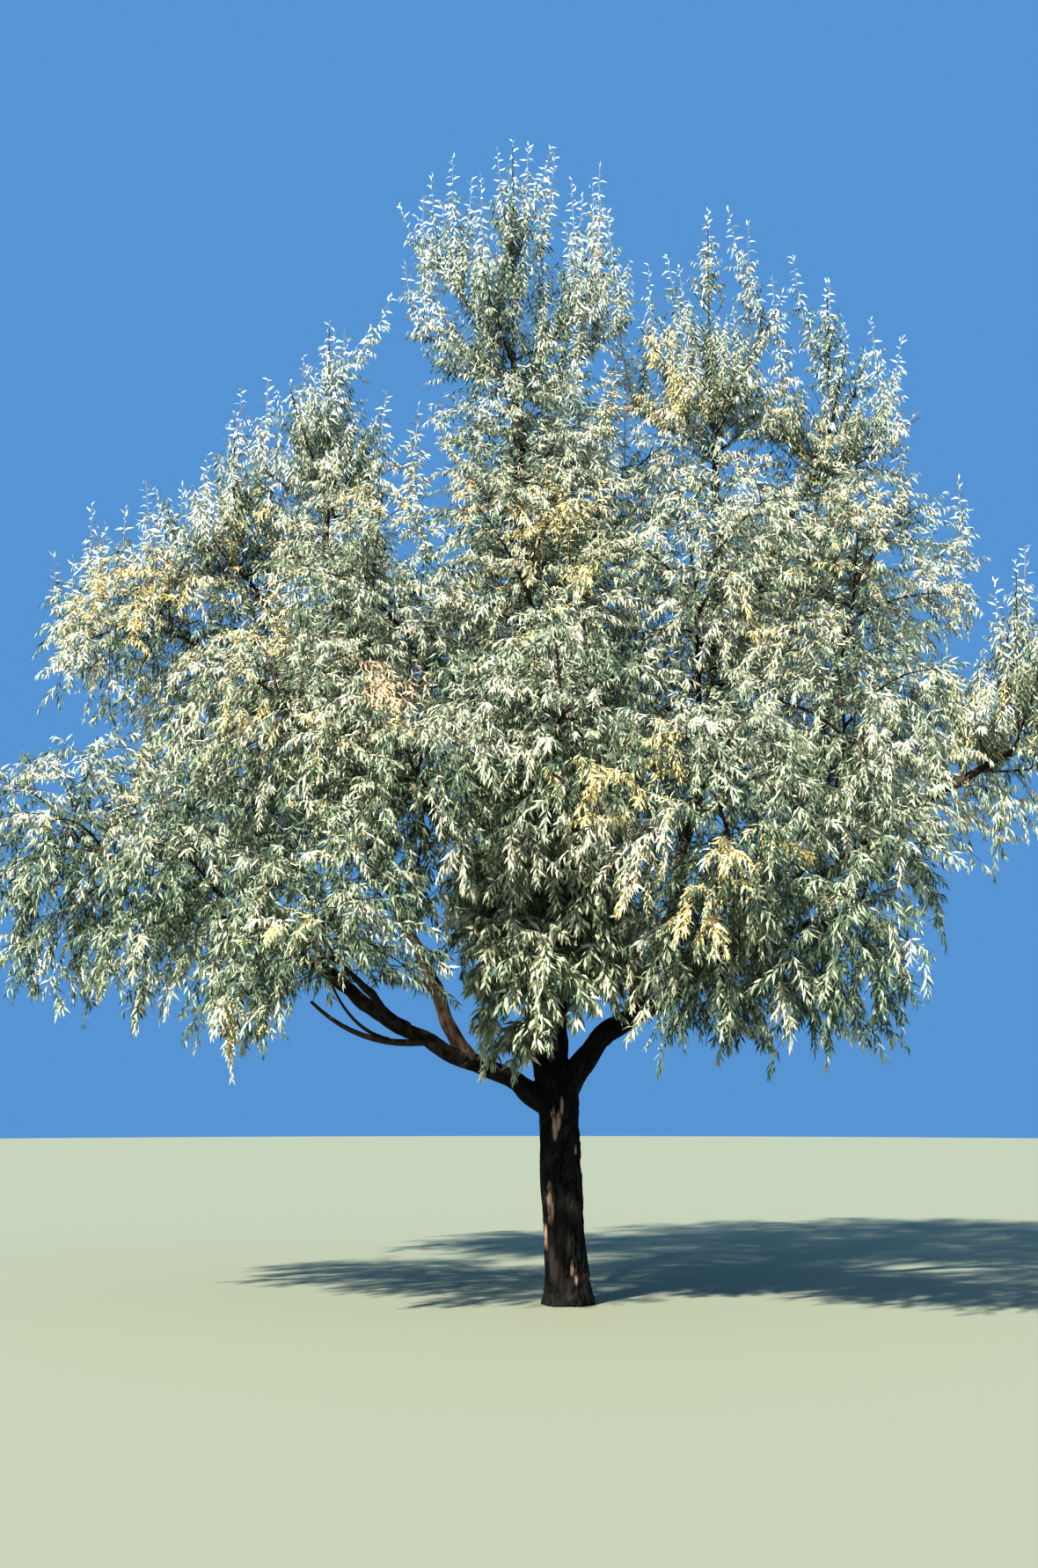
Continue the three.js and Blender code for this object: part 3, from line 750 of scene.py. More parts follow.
# For each habit: how far down and up its twigs point, how high they arch and how many there are, how
# side twigs and leafy shoots set out, how they bend on from there, and how long the side twigs get
HABITS = {
    "upright": {
        "lowest": -0.3, "highest": 1, "arch": -0.12, "twigs": 8,
        "side_lift": 1.0, "side_bend": 0.45, "shoot_lift": 0.95, "shoot_bend": 0.1, "side_length": 0.36,
    },
    "arching": {
        "lowest": -0.85, "highest": 0.95, "arch": 0.18, "twigs": 7,
        "side_lift": 0.2, "side_bend": -0.45, "shoot_lift": 0.1, "shoot_bend": -0.6, "side_length": 0.66,
    },
    "weeping": {
        "lowest": -0.95, "highest": 0.85, "arch": 0.3, "twigs": 7,
        "side_lift": 0.05, "side_bend": -0.85, "shoot_lift": 0.1, "shoot_bend": -1.1, "side_length": 0.68,
    },
}
GOLDEN_ANGLE = math.radians(137.5)
TWIG_REACH = 0.985
TWIG_GIRTHS = (0.011, 0.003)
TWIG_POINTS = 9
TWIG_BARE_SHARE = 0.35
STEM_POINTS = 7
FIRST_FORK = 0.3
FORK_STRETCH = 0.67
SIDE_GIRTHS = (0.0042, 0.0034, 0.0026, 0.0018)
SIDE_BARE_SHARE = 0.1
SHORTEST_SIDE = 0.10
FIRST_SIDE = 0.08
SIDE_FORWARD = 0.7
SCATTER = 0.12
SIDES_PER_METRE = 10.6
SPROUT_DENSITY = 1.6
CLEARED_SHARE = 0.6
LEADER_START = 0.66
LEADER_LIFT = 0.05

# How far growth may go past its own space, outwards and into the hollow of the crown
WALL_SLACK = 0.12
VOID_SLACK = 0.24
VOID_TOP = 5.9
CROWN_CENTRE = np.array([0, 0, 4.2])
chance = np.random.default_rng(41)


# Growth may go on past its own space where it heads into the crown instead of out of it
def room_for(row, root, heading):
    outward = unit(root - CROWN_CENTRE) @ heading
    into_void = VOID_SLACK if outward < 0.3 and root[2] < VOID_TOP else 0
    return reach_from(row, root, heading, WALL_SLACK) + into_void


# The first heading of each mass comes from the same run of numbers as in the solids
def first_heading(seed):
    state = (seed * 7919 + 13) % 2147483647
    return (state * 48271) % 2147483647 / 2147483647 * math.pi * 2


# A direction turned round an axis
def turned(vector, axis, angle):
    return (
        vector * math.cos(angle)
        + np.cross(axis, vector) * math.sin(angle)
        + axis * (axis @ vector) * (1 - math.cos(angle))
    )


names = list(CROWN)
coarse_twigs = []
side_twigs = []
side_owners = []
leafy_stems = []
twig_leaders = []


# A stretch of a curve, from one share of it to another
def part_of(curve, first, last):
    start, end = point_on(curve, [first, last])
    before = (1 - first) * curve[0] + first * curve[1]
    after = (1 - first) * curve[1] + first * curve[2]
    return np.array([start, (1 - last) * before + last * after, end])


# Hardly a twig grows in a few places: a slanting slot of open sky that parts the top column from
# the left shoulder, the space in front of the lowest wood on the left, the air under the low right
# edge of the crown, and that under all of it
SLOT_HALF_WIDTH = 0.12
SLOT_FOOT = 5.45
WINDOW_LOW = np.array([-1.8, -9, 0])
WINDOW_HIGH = np.array([-0.8, -0.2, 2.12])
LOW_RIGHT = np.array([2.1, 0.3, 2.85])
LOWEST_LEAVES = 1.72


def in_clearing(points):
    middle = -1.25 + 0.17 * np.clip(7.0 - points[:, 2], 0, 1.6) - 0.055 * points[:, 1]
    in_slot = (np.abs(points[:, 0] - middle) < SLOT_HALF_WIDTH) & (points[:, 2] > SLOT_FOOT)
    in_window = (points > WINDOW_LOW).all(axis=1) & (points < WINDOW_HIGH).all(axis=1)
    at_low_right = (points[:, 0] > LOW_RIGHT[0]) & (points[:, 1:] < LOW_RIGHT[1:]).all(axis=1)
    return (in_slot | in_window | at_low_right | (points[:, 2] < LOWEST_LEAVES)).any()


# A side twig sets out from its root, bends up or down with the habit, and stops inside the space
def add_side_twig(index, root, way, wanted, habit_name, room=None):
    row = CROWN[names[index]]
    habit = HABITS[habit_name]
    way = unit(way + UP * habit["side_lift"] + chance.normal(0, SCATTER, 3))
    bent = unit(way + UP * habit["side_bend"] * chance.uniform(0.7, 1.3))
    if room is None:
        room = room_for(row, root, unit(way + bent))
    size = max(min(wanted, room), SHORTEST_SIDE)
    bend = root + way * size / 2
    curve = np.array([root, bend, bend + bent * size / 2])
    if in_clearing(curve[1:]):
        return
    side_twigs.append(curve)
    side_owners.append(index)
    leafy_stems.append((curve, size, index, SIDE_BARE_SHARE, habit_name))


for index, (name, row) in enumerate(CROWN.items()):
    limb = limbs[name]
    habit = HABITS[row["habit"]]
    heart = row["heart"]
    stem_start = limb["end"] + JOINT_GAP / limb["span"]
    stem_girth = limb["girth"] * (1 if name == SPROUT else TIP_SHARE)
    stem_line = point_on(limb["curve"], np.linspace(stem_start, 1, STEM_POINTS))
    coarse_twigs.append((stem_line, np.linspace(stem_girth, stem_girth * 0.5, STEM_POINTS)))
    start_heading = first_heading(index + 1)
    for i in range(habit["twigs"]):
        place = i / (habit["twigs"] - 1)
        rise = habit["lowest"] + (habit["highest"] - habit["lowest"]) * place
        heading = start_heading + i * GOLDEN_ANGLE
        level = math.sqrt(1 - rise * rise)
        out = np.array([math.cos(heading) * level, math.sin(heading) * level, rise])
        end = heart + out * reach_from(row, heart, out) * TWIG_REACH
        fork = stem_start + (1 - stem_start) * (FIRST_FORK + FORK_STRETCH * place)
        base = point_on(limb["curve"], fork)
        length = np.linalg.norm(end - base)
        middle = (base + end) / 2 + UP * habit["arch"] * length
        twig = np.array([base, middle, end])
        if in_clearing(twig[2:]):
            twig = part_of(twig, 0, CLEARED_SHARE)
            length = length * CLEARED_SHARE
        twig_line = point_on(twig, np.linspace(0, 1, TWIG_POINTS))
        coarse_twigs.append((twig_line, np.linspace(*TWIG_GIRTHS, TWIG_POINTS)))

        # The rising twigs of an upright mass end in a leader, with leaves but no side twigs
        last = LEADER_START if row["habit"] == "upright" and rise > 0.2 else 1
        if last < 1:
            leader = part_of(twig, last, 1)
            leader[2] += UP * LEADER_LIFT
            twig_leaders.append((*leader, index))
        leafy_stems.append((part_of(twig, 0, last), length * last, index, TWIG_BARE_SHARE, row["habit"]))

        # Side twigs set out all round the twig
        count = max(4, int(length * last * SIDES_PER_METRE * (SPROUT_DENSITY if name == SPROUT else 1)))
        across = across_of(twig)
        turn = chance.uniform(0, 2 * math.pi)
        for j in range(count):
            share = FIRST_SIDE + (last - FIRST_SIDE) * (j + chance.uniform(0.2, 0.8)) / count
            root = point_on(twig, share)
            if not is_inside(row, root):
                continue
            along = heading_on(twig, share)
            way = turned(across, along, turn + j * GOLDEN_ANGLE) + along * SIDE_FORWARD
            wanted = habit["side_length"] * chance.uniform(0.75, 1.15) * (1 - 0.25 * share)
            add_side_twig(index, root, way, wanted, row["habit"])

# Side twigs stand on the boughs too, and closest on the wood high up. The wood is bare low down and
# far from any mass, and the limbs that show low on the left bear none in front.
HIGH_BOUGH = 4.6
SIDES_ON_BOUGHS = 13
SIDES_ON_HIGH_BOUGHS = 22
BARE_HEIGHT = 1.95
FARTHEST_IN_FRONT = 2
FARTHEST_AT_BACK = 2.6
SHOWN_LIMBS = ("left_low_far", "left_top")
SHOWN_HEIGHT = 2.75
WEEPING_TOP = 5
middles_of = np.array([row["middle"] for row in CROWN.values()])
halves_of = np.array([row["half"] for row in CROWN.values()])
for limb in boughs:
    across = across_of(limb["curve"])
    is_high = limb["curve"][2][2] > HIGH_BOUGH
    farthest = FARTHEST_AT_BACK if limb["name"].startswith("back") else FARTHEST_IN_FRONT
    count = int(limb["span"] * (SIDES_ON_HIGH_BOUGHS if is_high else SIDES_ON_BOUGHS))
    for j in range(count):
        share = limb["start"] + (1 - limb["start"]) * (j + chance.uniform(0.2, 0.8)) / count
        root = point_on(limb["curve"], share)
        away = np.linalg.norm((root - middles_of) / halves_of, axis=1)
        index = int(away.argmin())
        if root[2] < BARE_HEIGHT or away[index] > farthest:
            continue
        along = heading_on(limb["curve"], share)
        way = turned(across, along, j * GOLDEN_ANGLE) + along * 0.5
        if limb["name"] in SHOWN_LIMBS and root[2] < SHOWN_HEIGHT:
            way[1] = abs(way[1])
        habit_name = "weeping" if root[2] < WEEPING_TOP else "arching"
        length = HABITS[habit_name]["side_length"] * chance.uniform(0.6, 1.1) + girth_at(limb, share)
        add_side_twig(index, root, way, length, habit_name, length)


# Twigs are drawn by sweeping a small ring along their lines
twig_tree, twig_input = new_tree("twig_sweep", Sides="Int", Bark="Material")
as_curves = node(twig_tree, "GeometryNodeMeshToCurve", {"Mesh": twig_input["Geometry"]})
ring_inputs = {"Resolution": twig_input["Sides"], "Radius": 1.0}
twig_ring = node(twig_tree, "GeometryNodeCurvePrimitiveCircle", ring_inputs)
sweep_inputs = {"Curve": as_curves, "Profile Curve": twig_ring, "Scale": stored(twig_tree, "girth")}
finish_tree(twig_tree, node(twig_tree, "GeometryNodeCurveToMesh", sweep_inputs), twig_input["Bark"])


def sweep_twigs(name, lines, sides, material):
    edges = []
    count = 0
    for line, girths in lines:
        edges += [(count + i, count + i + 1) for i in range(len(line) - 1)]
        count += len(line)
    made = mesh_object(name, np.concatenate([line for line, girths in lines]), edges=edges)
    add_attribute(made.data, "girth", "FLOAT", np.concatenate([girths for line, girths in lines]))
    add_modifier_values(made, twig_tree, {"Sides": sides, "Bark": material})
    settle(made)
    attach(made, "root")


def make_twig_bark(name, dark, light):
    material = plain_material(name, light, 0.8)
    tree = material.node_tree
    place = node(tree, "ShaderNodeTexCoord").outputs["Object"]
    tint = mixed(tree, noise(tree, place, 22.0, 2.0), (*dark, 1), (*light, 1))
    tree.links.new(tint, tree.nodes["Principled BSDF"].inputs["Base Color"])
    return material


# Two bare branches show under the left limb, below the leaves: their curves, and girths at each end
SHOWN_BRANCHES = (
    (((-0.92, -0.10, 1.84), (-1.42, -0.40, 1.74), (-1.78, -0.45, 2.10)), (0.030, 0.012)),
    (((-1.25, -0.20, 1.84), (-1.50, -0.40, 1.90), (-1.62, -0.60, 2.20)), (0.016, 0.008)),
)
for branch, girths in SHOWN_BRANCHES:
    coarse_twigs.append((point_on(np.array(branch), np.linspace(0, 1, 12)), np.linspace(*girths, 12)))
old_twig_bark = make_twig_bark("old_twig_bark", (0.02, 0.014, 0.011), (0.075, 0.052, 0.040))
sweep_twigs("twigs", coarse_twigs, 5, old_twig_bark)
side_shares = np.linspace(0, 1, len(SIDE_GIRTHS))
side_lines = [(point_on(curve, side_shares), np.array(SIDE_GIRTHS)) for curve in side_twigs]
sweep_twigs("side_twigs", side_lines, 3, old_twig_bark)


# Leafy shoots
# This year's shoots are thin and silvery, and bear the leaves. They set out all along the side
# twigs, stand up at the top of the crown, arch over below it and hang down at its foot.
SHOOT_SPACING = 0.102
UPRIGHT_SPACING = 0.7
HIGH_DROOP = 0.55
SHOOT_LENGTHS = (0.19, 0.36)
SHORTEST_SHOOT = 0.08
SHOOT_SPREAD = 0.62
END_SPREAD = 0.15
HANG_SLACK = 0.15
CLEARED_CHANCE = 0.88

# The height up to which each peak is thick with shoots. Over it only its leaders stand.
BODY_TOP = {
    "top_column": 8.12,
    "right_top_inner": 7.25,
    "right_top_outer": 6.62,
    "left_top": 6.65,
    "left_shoulder": 6.2,
    "right_outer": 4.95,
}
shoots = []
for spray, (curve, size, index, first, habit_name) in enumerate(leafy_stems):
    habit = HABITS[habit_name]
    row = CROWN[names[index]]
    spacing = SHOOT_SPACING * (UPRIGHT_SPACING if habit_name == "upright" else 1)
    count = max(2, int(round(size * (1 - first) / spacing)))
    across = across_of(curve)
    turn = chance.uniform(0, 2 * math.pi)
    for j in range(count + 1):
        at = 1.0 if j == count else first + (0.96 - first) * (j + chance.uniform(0.1, 0.9)) / count
        root = point_on(curve, at)
        along = heading_on(curve, at)
        spread = END_SPREAD if j == count else SHOOT_SPREAD
        way = turned(across, along, turn + j * GOLDEN_ANGLE) * spread + along * 0.8 + UP * habit["shoot_lift"]
        way = unit(way + chance.normal(0, SCATTER, 3))
        droop = habit["shoot_bend"] * (HIGH_DROOP if habit_name == "weeping" and root[2] > 3 else 1)
        bent = unit(way + UP * droop * chance.uniform(0.6, 1.4))
        room = room_for(row, root, unit(way + bent)) + 0.05
        if row["habit"] == "weeping" and root[2] < row["middle"][2]:
            room = room + HANG_SLACK
        length = min(chance.uniform(*SHOOT_LENGTHS), max(room + 0.03, SHORTEST_SHOOT))
        middle = root + way * length / 2
        tip = middle + bent * length / 2
        is_over = tip[2] > BODY_TOP.get(names[index], math.inf)
        if (is_over or in_clearing(np.array([middle, tip]))) and chance.random() < CLEARED_CHANCE:
            continue
        shoots.append((root, middle, tip, index, spray))

# Leaders stand up out of the top and the shoulders of the crown, and long strands hang out of its
# foot. Each grows from the side twig that lies most nearly its own reach straight under or over it.
LEADER_TIPS = (
    (-1.23, 0.0, 8.05), (-1.0, 0.1, 8.32), (-0.84, 0.0, 8.43), (-0.5, -0.1, 8.45), (-0.27, 0.05, 8.55),
    (-0.07, 0.0, 8.45), (0.27, 0.1, 8.42), (-1.28, -0.1, 7.32), (0.36, 0.0, 7.7), (0.11, -0.3, 7.28),
    (0.63, 0.0, 7.59), (0.78, 0.2, 7.74), (1.09, 0.1, 8.05), (1.4, 0.2, 8.0), (1.74, 0.3, 7.8),
    (2.02, 0.3, 7.56), (2.33, 0.3, 7.29), (2.58, 0.4, 7.18), (2.53, 0.3, 6.66), (2.08, 0.1, 6.41),
    (2.94, 0.2, 6.0), (2.7, 0.0, 5.77), (2.91, 0.1, 5.47), (3.42, 0.2, 5.49), (3.14, 0.0, 5.18),
    (-2.42, 0.2, 6.71), (-2.21, 0.1, 6.74), (-1.94, 0.0, 6.88), (-1.71, 0.0, 7.08), (-1.62, 0.1, 7.05),
    (-1.32, 0.0, 6.61), (-2.69, 0.3, 6.19), (-3.56, 0.4, 5.85), (-3.84, 0.4, 5.47), (-3.5, 0.2, 5.09),
    (-1.07, -0.3, 6.41), (-1.12, -0.4, 6.12), (-0.4, 0.5, 8.4), (-0.1, -0.4, 8.35), (-0.7, 0.3, 8.38),
    (1.2, -0.3, 7.9), (0.9, 0.6, 7.8), (1.9, 0.8, 7.5), (-1.9, 0.5, 6.9), (-1.6, -0.4, 6.95),
    (0.3, 2.1, 7.0), (-0.1, 1.6, 7.15), (-2.0, 2.3, 6.4), (-1.5, 1.7, 6.3), (2.3, 2.1, 6.5),
    (1.8, 1.6, 6.5), (0.40, -0.1, 7.0), (0.3, -0.2, 6.75), (-0.62, -0.2, 8.2), (0.14, 0.2, 8.2),
    (0.2, -0.2, 7.95), (1.55, 0.0, 7.5), (0.05, -0.25, 8.15), (0.22, 0.15, 8.3), (0.32, -0.1, 7.95),
    (0.1, 0.3, 7.85), (0.38, 0.15, 7.55), (0.0, -0.4, 7.75), (-3.25, 0.1, 5.75), (-3.05, -0.2, 5.88),
    (-2.85, 0.2, 5.95), (-3.4, -0.1, 5.55), (-2.95, 0.4, 5.75), (-3.15, 0.3, 5.6), (-2.75, -0.2, 5.8),
    (-3.6, 0.0, 5.35), (-3.3, -0.4, 5.5), (-2.9, -0.5, 5.6), (-1.12, 0.15, 7.9), (-1.05, -0.2, 8.05),
    (-0.92, 0.3, 8.15), (-1.2, 0.1, 7.65), (0.27, 0.0, 8.1), (-0.15, 0.2, 8.25),
)
STRAND_TIPS = (
    (-3.32, -0.6, 1.93), (-2.95, -0.8, 1.87), (-2.13, -1.9, 1.56), (-1.92, -2.0, 1.71), (-2.33, -1.4, 1.83),
    (-0.59, -0.9, 1.66), (-0.28, -1.2, 1.89), (0.29, -1.3, 2.0), (0.62, -1.5, 1.94), (0.99, -1.8, 1.77),
    (1.35, -2.0, 1.76), (1.56, -2.0, 1.62), (1.68, -2.0, 1.85), (2.18, -1.4, 2.11), (2.54, -0.9, 2.43),
    (-3.83, -0.4, 2.27), (3.01, -0.3, 2.96), (2.2, 1.9, 2.7), (-2.4, 2.0, 2.5), (0.4, 2.6, 2.4),
    (-0.4, 2.9, 2.5), (-0.60, -0.6, 1.58), (-0.52, -0.7, 1.66), (-0.38, -0.6, 1.55), (-0.32, -0.7, 1.64),
)
LEADER_REACH = 0.75
STRAND_REACH = 0.5
ROOT_SHARES = (0.35, 0.7, 1.0)
root_places = np.array([point_on(curve, at) for curve in side_twigs for at in ROOT_SHARES])
root_owners = np.repeat(side_owners, len(ROOT_SHARES))
long_shoots = list(twig_leaders)
for up, reach, tips in ((1, LEADER_REACH, LEADER_TIPS), (-1, STRAND_REACH, STRAND_TIPS)):
    for tip in np.array(tips):
        away = tip - root_places
        level = np.linalg.norm(away[:, :2], axis=1)
        miss = np.abs(np.linalg.norm(away, axis=1) - reach) + level * 1.5 + (away[:, 2] * up < level) * 5
        nearest = miss.argmin()
        root = root_places[nearest]
        middle = root + (tip - root) * np.array([0.75, 0.75, 0.4])
        long_shoots.append((root, middle, tip, root_owners[nearest]))

# Short shoots crowd each leader and strand from its root to near its tip
CROWD_SPACING = 0.06
CROWDED_SHARE = 0.72
for number, (root, middle, tip, index) in enumerate(long_shoots):
    stem = np.array([root, middle, tip])
    length = np.linalg.norm(tip - root)
    across = across_of(stem)
    for j in range(int(length / CROWD_SPACING)):
        at = CROWDED_SHARE * (j + chance.uniform(0.1, 0.9)) * CROWD_SPACING / length
        way = unit(turned(across, heading_on(stem, at), j * GOLDEN_ANGLE) + heading_on(stem, at) * 0.8)
        bent = unit(way - UP * 0.5)
        reach = chance.uniform(0.05, 0.11) * (1.1 - at)
        foot = point_on(stem, at)
        spray = len(leafy_stems) + number
        shoots.append((foot, foot + way * reach, foot + way * reach + bent * reach, index, spray))
plain_count = len(shoots)
for root, middle, tip, index in long_shoots:
    shoots.append((root, middle, tip, index, len(leafy_stems)))
    leafy_stems.append((np.array([root, middle, tip]), 0.5, index, 0.0, "upright"))

# No shoot goes far past the solids' own box
BOX_MARGIN = 0.07
roots = np.array([shoot[0] for shoot in shoots])
low_corner = np.array(cad_box[0]) - BOX_MARGIN
high_corner = np.array(cad_box[1]) + BOX_MARGIN
middles = np.clip([shoot[1] for shoot in shoots], low_corner, high_corner)
tips = np.clip([shoot[2] for shoot in shoots], low_corner, high_corner)
owners = np.array([shoot[3] for shoot in shoots])
sprays = np.array([shoot[4] for shoot in shoots])
lengths = np.linalg.norm(middles - roots, axis=1) + np.linalg.norm(tips - middles, axis=1)
is_long = np.arange(len(shoots)) >= plain_count
leader_count = len(twig_leaders) + len(LEADER_TIPS)
is_leader = is_long & (np.arange(len(shoots)) < plain_count + leader_count)
stems = np.array([roots, middles, tips])

LONG_GIRTH = 0.0046
SHORT_GIRTH = 0.0018
young_twig_bark = make_twig_bark("young_twig_bark", (0.22, 0.19, 0.15), (0.46, 0.46, 0.42))
shoot_lines = []
for which, length in enumerate(lengths):
    steps = np.linspace(0, 1, 6 if is_long[which] else 2 + (length > 0.25))
    girths = (LONG_GIRTH if is_long[which] else SHORT_GIRTH) * (1 - 0.7 * steps)
    shoot_lines.append((point_on(stems[:, which], steps), girths))
sweep_twigs("young_shoots", shoot_lines, 3, young_twig_bark)


# Leaves
# Narrow willow-like leaves, mostly 5 to 10 cm long, dull green under a coat of silvery scales. The
# youngest at the top are nearly white, and those deep in the crown and low down take darker, greener tones as
# painted shade.

# One leaf, a unit long and broad, folded across where it is broadest: its points and faces
LEAF_FORM = (
    ((0, 0, 0), (0.5, 0.42, 0.04), (-0.5, 0.42, 0.04), (0, 1, -0.12)),
    ((0, 1, 2), (1, 3, 2)),
)
LEAF_SPACING = 0.0118
LEADER_LEAF_SPACING = 0.019
FEWEST_LEAVES = 7
LEAF_LENGTHS = (0.062, 0.092)
SIZE_HEIGHTS = (2.6, 5, 7.5)
SIZES_THERE = (1.12, 0.95, 0.85)
LEADER_LEAF = 1.15
BROAD_LEAF = 1.3
NARROW_BREADTH = 0.185
BROAD_BREADTH = 0.24
ODD_LEAF_CHANCE = 0.6
MOST_LEAVES_IN_PIECE = 90000
TONES = {
    "silver_white_leaf": (0.62, 0.70, 0.72),
    "silver_leaf": (0.50, 0.515, 0.425),
    "olive_silver_leaf": (0.505, 0.49, 0.365),
    "silver_green_leaf": (0.42, 0.45, 0.34),
    "grey_green_leaf": (0.29, 0.345, 0.25),
    # The deep green stands mostly for painted shade on shoots deep in the crown and low down
    "deep_green_leaf": (0.095, 0.135, 0.09),
    "dry_tan_leaf": (0.66, 0.49, 0.33),
    "yellowing_leaf": (0.72, 0.60, 0.31),
}
TONE_SHARES = {
    "upright": (0.05, 0.24, 0.24, 0.28, 0.15, 0.04, 0, 0),
    "arching": (0, 0.18, 0.26, 0.32, 0.20, 0.04, 0, 0),
    "weeping": (0, 0.09, 0.24, 0.35, 0.26, 0.06, 0, 0),
}

# Small dried sprays on the front of the crown: x, z and size
DRY_SPRAYS = ((-1.24, 4.2, 0.14), (-1.22, 3.98, 0.12), (-1.02, 4.22, 0.10), (-0.7, 5.55, 0.1))

# Places where the fruit is thick and some sprays are turning yellow: x, y, z, size and share
FRUIT_PATCHES = (
    (0.76, -2.9, 2.72, 0.38, 1.7),
    (0.06, -2.5, 3.35, 0.24, 0.8),
    (0.23, -2.3, 2.65, 0.22, 0.8),
    (0.55, -2.3, 3.58, 0.22, 0.7),
    (0.43, -2.6, 3.28, 0.24, 0.7),
    (1.5, -2.0, 2.87, 0.22, 0.7),
    (1.35, -1.5, 4.54, 0.30, 0.7),
    (2.01, -0.8, 5.26, 0.32, 0.6),
    (3.04, -0.6, 4.23, 0.40, 0.7),
    (1.41, -0.6, 6.0, 0.34, 0.7),
    (1.83, -0.3, 6.35, 0.30, 0.7),
    (0.74, -0.4, 6.65, 0.42, 0.9),
    (0.47, -0.3, 6.61, 0.30, 0.8),
    (0.05, -0.8, 5.58, 0.26, 0.6),
    (-0.04, -1.2, 5.15, 0.34, 0.8),
    (-0.22, -1.0, 5.38, 0.30, 0.7),
    (-0.34, -1.3, 4.8, 0.34, 0.8),
    (-0.76, -0.8, 5.64, 0.26, 0.6),
    (-1.22, -0.8, 5.48, 0.26, 0.8),
    (-1.17, -2.0, 3.92, 0.26, 0.5),
    (-1.58, -2.0, 3.59, 0.26, 0.6),
    (-1.89, -1.6, 3.99, 0.30, 0.7),
    (-2.1, -1.4, 3.95, 0.28, 0.8),
    (-2.08, -1.0, 4.75, 0.28, 0.8),
    (-2.32, -1.0, 4.58, 0.28, 0.7),
    (-2.33, -0.6, 5.49, 0.34, 0.8),
    (-2.75, -0.8, 4.17, 0.34, 0.8),
    (-2.87, -0.6, 4.85, 0.36, 0.9),
    (-3.24, -0.4, 5.0, 0.34, 0.9),
    (-1.89, -2.4, 2.45, 0.24, 0.8),
    (-2.14, -1.9, 1.77, 0.24, 0.9),
    (-3.32, -0.8, 2.31, 0.26, 0.6),
    (1.6, 3.0, 4.6, 0.4, 0.6),
    (-2.2, 2.8, 4.4, 0.4, 0.6),
    (0.2, 3.6, 5.2, 0.4, 0.6),
    (3.2, 1.5, 4.0, 0.4, 0.6),
    (-3.3, 1.6, 4.2, 0.4, 0.6),
)
SLOTS = {"upright": "silver_shoots", "arching": "silver_green_foliage", "weeping": "grey_green_foliage"}

BROAD_LEAVED = names.index(SPROUT)
GREENEST = list(TONES).index("deep_green_leaf")
DRY = list(TONES).index("dry_tan_leaf")
YELLOWING = list(TONES).index("yellowing_leaf")
YELLOW_CHANCE = 0.22
DRY_CHANCE = 0.7
LOW_MIDDLE_TOP = 3.2
LOW_EDGE_TOP = 3.6
LOWEST_EDGE_TOP = 2.9
CROWN_HALVES = np.array([3.4, 3.0, 3.4])

# Every twig has its tone, and its shoots keep to it or differ by one step
habit_of = np.array([CROWN[name]["habit"] for name in names])
twig_owner = np.array([index for curve, size, index, first, habit_name in leafy_stems])
tone_shares = [TONE_SHARES[habit] for habit in habit_of[twig_owner]]
twig_tone = np.array([chance.choice(len(TONES), p=shares) for shares in tone_shares])
shoot_tone = twig_tone[sprays] + chance.integers(-1, 2, len(sprays))
shoot_middle = (roots + tips) / 2

# Shoots deep in the crown, deep inside their own mass and low down take darker, greener tones as painted
# shade; those low in its middle are made lighter instead, as painted light
inward = 1 - np.linalg.norm((shoot_middle - CROWN_CENTRE) / CROWN_HALVES, axis=1)
is_low_middle = (np.abs(shoot_middle[:, 0] + 0.15) < 0.7) & (shoot_middle[:, 2] < LOW_MIDDLE_TOP)
is_low_edge = ~is_low_middle & (shoot_middle[:, 2] < LOW_EDGE_TOP)
outerness = np.linalg.norm((shoot_middle - middles_of[owners]) / halves_of[owners], axis=1)
painted_shade_chance = np.clip(inward, 0, 0.6) + 0.5 * is_low_edge + np.clip(1.4 - 2 * outerness, 0, 0.8)
painted_shade_chance = painted_shade_chance + 0.25 * (is_low_edge & (shoot_middle[:, 2] < LOWEST_EDGE_TOP))
painted_shade_chance = np.where(habit_of[owners] == "upright", np.clip(2.0 - 2 * outerness, 0, 0.9), painted_shade_chance)
shoot_tone = shoot_tone + 2 * (chance.random(len(sprays)) < painted_shade_chance)
# Painted light: shoots low in the crown's middle, in the shade of the masses over them, are made two steps
# lighter
shoot_tone = shoot_tone - 2 * (is_low_middle & (chance.random(len(sprays)) < 0.75))
shoot_tone = np.clip(shoot_tone, np.where(habit_of[owners] == "upright", 0, 1), GREENEST)


def apart_from(patch):
    return np.linalg.norm((shoot_middle - patch) * np.array([1, 0.5, 1]), axis=1)


for *patch, radius, plenty in FRUIT_PATCHES:
    is_turning = chance.random(len(sprays)) < YELLOW_CHANCE * plenty
    shoot_tone[(apart_from(patch) < radius) & is_turning] = YELLOWING
for x, z, radius in DRY_SPRAYS:
    is_dry = (np.hypot(shoot_middle[:, 0] - x, shoot_middle[:, 2] - z) < radius) & (shoot_middle[:, 1] < -0.4)
    shoot_tone[is_dry & (chance.random(len(sprays)) < DRY_CHANCE)] = DRY
of_sprout = np.flatnonzero(owners == BROAD_LEAVED)
shoot_tone[of_sprout] = chance.integers(3, 5, len(of_sprout))
shoot_tone[is_leader] = 0

